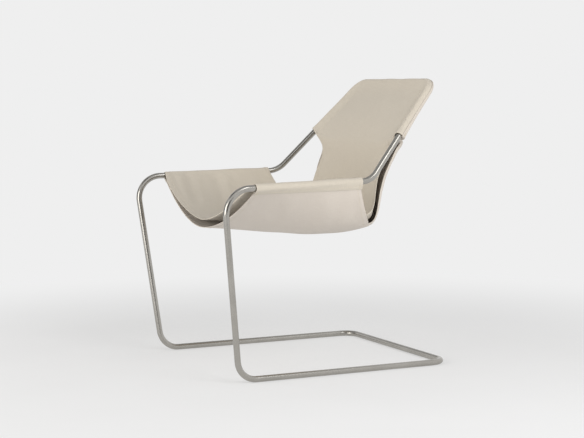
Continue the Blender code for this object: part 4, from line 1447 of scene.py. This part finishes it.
@dataclass
class Cover:
    """The slip-on cover: two layers of canvas, their hems and seams, and the tacks at the seams' ends."""

    shape: CoverShape
    front_finish: CanvasFinish
    # The rear layer's canvas is painted lighter than the front one, as painted light for the stronger light
    # on the side panel.
    rear_finish: CanvasFinish
    thread: ThreadFinish
    seam_stitch: Stitching = Stitching()
    tack_stitch: Stitching = Stitching(0.00085, 0.0032, 0.0009, 0.0009, crosswise=True)
    front_folds: tuple[Wave, ...] = (Wave(0.0013, 0.083, 0.4), Wave(0.0008, 0.051, 2.1),
                                     Wave(0.0006, 0.139, 1.2))
    rear_folds: tuple[Wave, ...] = (Wave(0.0007, 0.097, 2.6), Wave(0.0004, 0.061, 0.3),
                                    Wave(0.0008, 0.153, 1.9))
    slack: tuple[Wave, ...] = (Wave(0.0005, 0.171, 0.7), Wave(0.0004, 0.113, 2.2))
    puckers: tuple[Wave, ...] = (Wave(0.00022, 0.0137, 0.0), Wave(0.00016, 0.0223, 1.4),
                                 Wave(0.00010, 0.041, 0.6))
    # How the folds and the slack slant, and how far the puckers of the other side are shifted.
    fold_slant: float = 0.23
    slack_slant: float = 0.6
    pucker_shift: float = 0.017
    # How far from an edge, and from a seam, the cloth begins to move and moves fully.
    edge_still: tuple[float, float] = (0.004, 0.03)
    seam_still: tuple[float, float] = (0.01, 0.06)
    # Beside the stitches of a hem and a seam: the cloth's lift, and how deep and wide it is pinched.
    pucker_lift: float = 0.0005
    pucker_width: tuple[float, float] = (0.006, 0.007)
    pinch: float = 0.00035
    pinch_width: tuple[float, float] = (0.0009, 0.0012)
    # The turned-in hem, where it ends, and how the cloth's edges are rounded.
    hem_fold: float = 0.0007
    hem_end: tuple[float, float] = (0.0135, 0.0155)
    edge_round: float = 0.0012
    edge_least: float = 0.15
    thread_material: bpy.types.Material = field(init=False)

    def __post_init__(self) -> None:
        """Makes the thread's material, which all the stitches share."""
        self.thread_material = self.thread.material()

    def surfaces(self, layer: Layer) -> tuple[LayerMesh, dict[str, Array], Array, Array]:
        """The two faces of a layer.

        The middle surface is moved along its normals by soft folds, a little slack and puckers at the
        seams. The cloth is then thicker in its hems, pinched at the stitches and round at its edges.

        Args:
            layer: Which layer.

        Returns:
            The half mesh, the whole surface's values, and the points of its upper and lower faces.
        """
        mesh = self.shape.build_layer(layer)
        data = mesh.whole()
        hem, seam, flat = data["hem"], data["seam"], data["flat"]
        x, y = data["points"][:, 0], data["points"][:, 1]
        waves = self.front_folds if layer is Layer.FRONT else self.rear_folds
        inside = soft_step(hem, *self.edge_still) * soft_step(data["edge"], *self.edge_still)
        moved = data["folds"] * inside * ripple(y + self.fold_slant * x, waves)
        loose = soft_step(seam, *self.seam_still) * inside
        moved += loose * ripple(x + self.slack_slant * flat[:, 1], self.slack)
        stitch = hem - self.shape.sizes.hem_stitch
        beside = np.maximum(bell(stitch, self.pucker_width[0]), bell(seam, self.pucker_width[1]))
        run = flat.sum(axis=1) + self.pucker_shift * (x < 0.0)
        moved += layer.value * beside * (self.pucker_lift + ripple(run, self.puckers))
        pinch = np.maximum(bell(stitch, self.pinch_width[0]), bell(seam, self.pinch_width[1]))
        half = self.shape.sizes.cloth / 2.0 - self.pinch * pinch
        fold = self.hem_fold * (1.0 - soft_step(hem, *self.hem_end))
        outer = np.clip(data["edge"] / self.edge_round, 0.0, 1.0)
        rounded = np.maximum(self.edge_least, np.sqrt(1.0 - (1.0 - outer) ** 2))
        shown, hidden = half * rounded, (half + fold) * rounded
        over, under = (shown, hidden) if layer is Layer.FRONT else (hidden, shown)
        middle = data["points"] + data["normals"] * moved[:, None]
        data["normals"] = LayerMesh.normals(middle, data["quads"])
        upper = middle + data["normals"] * over[:, None]
        return mesh, data, upper, middle - data["normals"] * under[:, None]

    def build_layer(self, layer: Layer, name: str, node: str, slot: str, finish: CanvasFinish) -> ClothPiece:
        """Makes one layer of cloth as a closed sheet.

        Args:
            layer: Which layer.
            name: The piece's name.
            node: The solid that it replaces.
            slot: Not used.
            finish: The canvas.

        Returns:
            The finished layer.
        """
        mesh, data, upper, lower = self.surfaces(layer)
        quads, flat, count = data["quads"], data["flat"], len(upper)
        edges = LayerMesh.rim(quads)
        sides = np.stack([edges[:, 1], edges[:, 0], edges[:, 0] + count, edges[:, 1] + count], axis=-1)
        points = np.concatenate([upper, lower])
        closed = facing_out(points, np.concatenate([quads, quads[:, ::-1] + count, sides]))
        corner_map = np.concatenate([flat, flat])[closed]
        piece = put_piece(name, points, closed, finish.material(), node, ("cloth", corner_map))
        a, b, c, d = (data["points"][quads[:, i]] for i in range(4))
        area = float(np.linalg.norm(np.cross(c - a, d - b), axis=1).sum() / 2.0)
        width, length = 2.0 * float(flat[:, 0].max()), float(np.ptp(flat[:, 1]))
        LOG.info("%s: cut %.3f by %.3f m, %.3f square metres", name, width, length, area)
        shown = upper if layer is Layer.FRONT else lower
        return ClothPiece(piece, mesh, shown, data["normals"] * layer.value, width, length, area)

    def sew(self, node: str, cloth: ClothPiece, runs: list[Array], stitch: Stitching) -> bpy.types.Object:
        """Makes one seam's stitches.

        Args:
            node: The solid that they replace, which the piece is named for.
            cloth: The layer that they lie on.
            runs: The numbers of the points of each run of the seam.
            stitch: The kind of stitch.

        Returns:
            The stitches as one piece.
        """
        points, quads = np.zeros((0, 3)), np.zeros((0, 4), int)
        for run in runs:
            more, faces = stitch.along(cloth.shown[run], cloth.normals[run])
            quads = np.concatenate([quads, faces + len(points)])
            points = np.concatenate([points, more])
        return put_piece(f"{node}_thread", points, quads, self.thread_material, node)

    def sew_layer(self, cloth: ClothPiece, layer: Layer) -> list[bpy.types.Object]:
        """Makes every row of stitches and every tack on one layer.

        Args:
            cloth: The finished layer.
            layer: Which layer.

        Returns:
            The pieces of thread.
        """
        lines, other = cloth.mesh.lines, cloth.mesh.other
        seam, tack = self.seam_stitch, self.tack_stitch
        mouth = np.concatenate([other[lines["mouth"][:0:-1]], lines["mouth"]])
        if layer is Layer.FRONT:
            valley = lines["valley"]
            rows = [("mouth_stitch_upper", [mouth], seam), ("channel_seam", [valley, other[valley]], seam)]
            sides = [("notch_stitch_seat", "notch", seam), ("arm_seam", "arm", seam),
                     ("arm_front_tack", "arm_front_tack", tack), ("arm_rear_tack", "arm_rear_tack", tack)]
        else:
            pocket = np.concatenate([lines["pocket"], other[lines["pocket"][-2::-1]]])
            rows = [("mouth_stitch_lower", [mouth], seam), ("pocket_seam", [pocket], seam)]
            sides = [("notch_stitch_under", "notch", seam), ("pocket_tack", "pocket_tack", tack)]
        for side, numbers in (("left", np.arange(len(other))), ("right", other)):
            rows += [(f"{node}_{side}", [numbers[lines[line]]], stitch) for node, line, stitch in sides]
        return [self.sew(node, cloth, runs, stitch) for node, runs, stitch in rows]

    def build(self) -> None:
        """Makes both layers, every row of stitches and the tacks."""
        cloths = {
            Layer.FRONT: self.build_layer(Layer.FRONT, "seat_and_back_cloth", "seat_back_panel",
                                          "canvas_front", self.front_finish),
            Layer.REAR: self.build_layer(Layer.REAR, "underside_cloth", "underside_panel",
                                         "canvas_rear", self.rear_finish),
        }
        for layer, cloth in cloths.items():
            threads = self.sew_layer(cloth, layer)


@dataclass(frozen=True)
class PhotoCamera:
    """The camera at the photograph's angle, with its focal length and centre in the picture's pixels."""

    azimuth: float = 64.22
    elevation: float = 5.04
    roll: float = -0.26
    distance: float = 4.74
    target: tuple[float, float, float] = (0.0, 0.0325, 0.424)
    focal_px: float = 1537.0
    centre_px: tuple[float, float] = (301.04, 221.2)
    picture_px: tuple[int, int] = (584, 438)
    sensor_mm: float = 36.0

    def build(self) -> None:
        """Makes the camera and looks through it."""
        azimuth, elevation, roll = np.radians([self.azimuth, self.elevation, self.roll])
        back = np.array([math.sin(azimuth) * math.cos(elevation), -math.cos(azimuth) * math.cos(elevation),
                         math.sin(elevation)])
        place = np.array(self.target) + back * self.distance
        right, above, back = facing(place, np.array(self.target))
        turned = math.cos(roll) * right + math.sin(roll) * above
        above = math.cos(roll) * above - math.sin(roll) * right
        lens = bpy.data.cameras.new("photo_camera")
        lens.sensor_width = self.sensor_mm
        lens.lens = self.focal_px * self.sensor_mm / self.picture_px[0]
        lens.shift_x = (self.picture_px[0] / 2.0 - self.centre_px[0]) / self.picture_px[0]
        lens.shift_y = (self.centre_px[1] - self.picture_px[1] / 2.0) / self.picture_px[0]
        camera = bpy.data.objects.new("photo_camera", lens)
        camera.matrix_world = placed(turned, above, back, place)
        bpy.context.scene.collection.objects.link(camera)
        bpy.context.scene.camera = camera


class SoftLight(NamedTuple):
    """A large soft lamp: its place, width, power and colour, and whether the steel mirrors it."""

    name: str
    place: tuple[float, float, float]
    width: float
    watts: float
    colour: str
    in_steel: bool


class Flag(NamedTuple):
    """A grey card that faces the chair: its middle, width, height and grey."""

    name: str
    place: tuple[float, float, float]
    width: float
    height: float
    grey: str


@dataclass(frozen=True)
class Studio:
    """A pale floor that runs out into a pale backdrop, under large soft lamps."""

    backdrop: str = "#EFEFEF"
    floor: str = "#EAEAEA"
    floor_grain: str = "#E3E3E3"
    floor_radius: float = 14.0
    floor_first_ring: float = 0.5
    floor_rings: int = 12
    floor_sides: int = 64
    fade: tuple[float, float] = (0.7, 2.2)
    ambient: float = 0.50
    floor_glow: float = 0.45
    aim: tuple[float, float, float] = (0.0, 0.0, 0.45)
    nap: str = "#626262"
    nap_share: float = 0.15
    lamps: tuple[SoftLight, ...] = (
        SoftLight("side_lamp", (3.4, 0.8, 1.45), 2.2, 77.0, "#FFFFFF", False),
        SoftLight("upright_lamp", (2.5, 0.7, 2.9), 1.0, 11.0, "#FFFFFF", True),
        SoftLight("front_lamp", (1.6, -3.6, 0.9), 2.4, 50.0, "#FFFCF7", True),
        SoftLight("seat_lamp", (-0.8, -3.5, 1.1), 2.4, 57.0, "#FFFCF7", False),
    )
    flags: tuple[Flag, ...] = (
        Flag("flag_left", (-2.2, -3.1, 1.2), 2.6, 2.6, "#5A5A5A"),
        Flag("flag_camera", (5.0, -2.6, 1.2), 3.0, 2.6, "#5A5A5A"),
        Flag("flag_right", (2.4, -0.3, 0.4), 1.0, 0.8, "#5A5A5A"),
        Flag("flag_front", (0.0, -1.95, 3.0), 1.8, 1.5, "#3C3C3C"),
        Flag("flag_ceiling", (-1.4, -0.1, 4.4), 5.4, 9.0, "#B8B8B8"),
    )

    def light(self) -> None:
        """Hangs the lamps, each turned to the chair."""
        for lamp in self.lamps:
            data = bpy.data.lights.new(lamp.name, "AREA")
            data.size = lamp.width
            data.energy = lamp.watts
            data.color = linear(lamp.colour)[:3]
            hung = bpy.data.objects.new(lamp.name, data)
            place = np.array(lamp.place)
            hung.matrix_world = placed(*facing(place, np.array(self.aim)), place)
            hung.visible_glossy = lamp.in_steel
            bpy.context.scene.collection.objects.link(hung)

    def surround(self) -> None:
        """The room: a pale backdrop to the eye and to glossy surfaces, and an even low fill elsewhere."""
        world = bpy.data.worlds.new("studio")
        world.use_nodes = True
        tree = world.node_tree
        tree.nodes.clear()
        path = add_node(tree, "ShaderNodeLightPath").outputs
        seen = add_node(tree, "ShaderNodeMath", {"operation": "MAXIMUM"},
                        links={0: path["Is Camera Ray"], 1: path["Is Transmission Ray"]})
        seen = add_node(tree, "ShaderNodeMath", {"operation": "MAXIMUM"},
                        links={0: seen.outputs[0], 1: path["Is Glossy Ray"]})
        fill = add_node(tree, "ShaderNodeBackground",
                        values={"Color": linear("#FFFFFF"), "Strength": self.ambient})
        pale = add_node(tree, "ShaderNodeBackground",
                        values={"Color": linear(self.backdrop), "Strength": 1.0})
        both = add_node(tree, "ShaderNodeMixShader",
                        links={0: seen.outputs[0], 1: fill.outputs[0], 2: pale.outputs[0]})
        add_node(tree, "ShaderNodeOutputWorld", links={"Surface": both.outputs[0]})
        bpy.context.scene.world = world

    def lay_floor(self) -> None:
        """A round floor on a polar grid; away from the chair it fades into the backdrop's own colour."""
        radii = np.geomspace(self.floor_first_ring, self.floor_radius, self.floor_rings)
        angle = 2.0 * np.pi * np.arange(self.floor_sides) / self.floor_sides
        circle = np.stack([np.cos(angle), np.sin(angle), np.zeros(self.floor_sides)], axis=-1)
        points = np.concatenate([(radii[:, None, None] * circle).reshape(-1, 3), np.zeros((1, 3))])
        numbers = np.arange(self.floor_rings * self.floor_sides).reshape(self.floor_rings, self.floor_sides)
        quads = np.concatenate([grid_quads(np.concatenate([numbers, numbers[:, :1]], axis=1))[:, ::-1],
                                fan_quads(numbers[0], len(points) - 1)])
        mesh = bpy.data.meshes.new("studio_floor")
        mesh.from_pydata(points.tolist(), [], quads.tolist())
        made, tree, shader = new_material("pale_floor")
        place = add_node(tree, "ShaderNodeTexCoord").outputs["Object"]
        away = add_node(tree, "ShaderNodeVectorMath", {"operation": "LENGTH"}, links={0: place})
        share = add_node(tree, "ShaderNodeMapRange", {"interpolation_type": "SMOOTHSTEP"},
                         {"From Min": self.fade[0], "From Max": self.fade[1], "To Min": self.floor_glow},
                         {"Value": away.outputs["Value"]})
        grain = add_node(tree, "ShaderNodeTexNoise", None, {"Scale": 2.5, "Detail": 2.0}, {"Vector": place})
        tone = add_node(tree, "ShaderNodeMix", {"data_type": "RGBA"},
                        {6: linear(self.floor), 7: linear(self.floor_grain)}, {"Factor": grain.outputs[0]})
        tree.links.new(tone.outputs[2], shader.inputs["Base Color"])
        shader.inputs["Roughness"].default_value = 0.9
        shader.inputs["Specular IOR Level"].default_value = 0.1
        far = add_node(tree, "ShaderNodeEmission", values={"Color": linear(self.backdrop), "Strength": 1.0})
        both = add_node(tree, "ShaderNodeMixShader",
                        links={0: share.outputs[0], 1: shader.outputs[0], 2: far.outputs[0]})
        tree.links.new(both.outputs[0], tree.nodes["Material Output"].inputs["Surface"])
        mesh.materials.append(made)
        floor = bpy.data.objects.new("studio_floor", mesh)
        bpy.context.scene.collection.objects.link(floor)

    def hang_flags(self) -> None:
        """Grey cards out of the picture, which only the steel reflects, as dark bands along the bar."""
        for flag in self.flags:
            made, tree, shader = new_material(f"cloth_of_{flag.name}")
            place = add_node(tree, "ShaderNodeTexCoord").outputs["Object"]
            nap = add_node(tree, "ShaderNodeTexNoise", values={"Scale": 40.0}, links={"Vector": place})
            faint = add_node(tree, "ShaderNodeMath", {"operation": "MULTIPLY"}, {1: self.nap_share},
                             {0: nap.outputs[0]})
            tone = add_node(tree, "ShaderNodeMix", {"data_type": "RGBA"},
                            {6: linear(flag.grey), 7: linear(self.nap)}, {"Factor": faint.outputs[0]})
            tree.links.new(tone.outputs[2], shader.inputs["Base Color"])
            shader.inputs["Roughness"].default_value = 1.0
            mid = np.array(flag.place)
            aside, rise, _ = facing(mid, np.array(self.aim))
            aside, rise = aside * flag.width / 2.0, rise * flag.height / 2.0
            corners = [mid - aside - rise, mid + aside - rise, mid + aside + rise, mid - aside + rise]
            mesh = bpy.data.meshes.new(flag.name)
            mesh.from_pydata([corner.tolist() for corner in corners], [], [(0, 1, 2, 3)])
            mesh.materials.append(made)
            card = bpy.data.objects.new(flag.name, mesh)
            card.visible_camera = False
            card.visible_diffuse = False
            card.visible_shadow = False
            bpy.context.scene.collection.objects.link(card)

    def build(self) -> None:
        """Makes the floor, the room, the lamps and the flags."""
        self.lay_floor()
        self.surround()
        self.light()
        self.hang_flags()


def main() -> None:
    """Builds the chair and its studio in order."""
    logging.basicConfig(level=logging.INFO, format="%(name)s: %(message)s")
    bpy.context.scene.view_settings.view_transform = "Standard"
    PhotoCamera().build()
    Studio().build()
    line = BarLine()
    weld = SteelFinish("ground_stainless_weld", light="#A8A49D", dark="#8E8A83", roughness=(0.32, 0.5))
    FrameBar(line, SteelFinish("satin_stainless"), weld).build()
    Cover(CoverShape(line, CoverSizes()),
          CanvasFinish("natural_canvas_front", yarn="#C6BEB1", thin_yarn="#B8B0A2", cloud="#BEB6A9"),
          # The rear canvas is a lighter, pinker copy of the front canvas: painted light for the stronger
          # light that falls on the side panel.
          CanvasFinish("natural_canvas_rear", yarn="#CDC5BB", thin_yarn="#C0B7AD", cloud="#C6BDB3"),
          ThreadFinish("undyed_thread")).build()


if __name__ == "__main__":
    main()
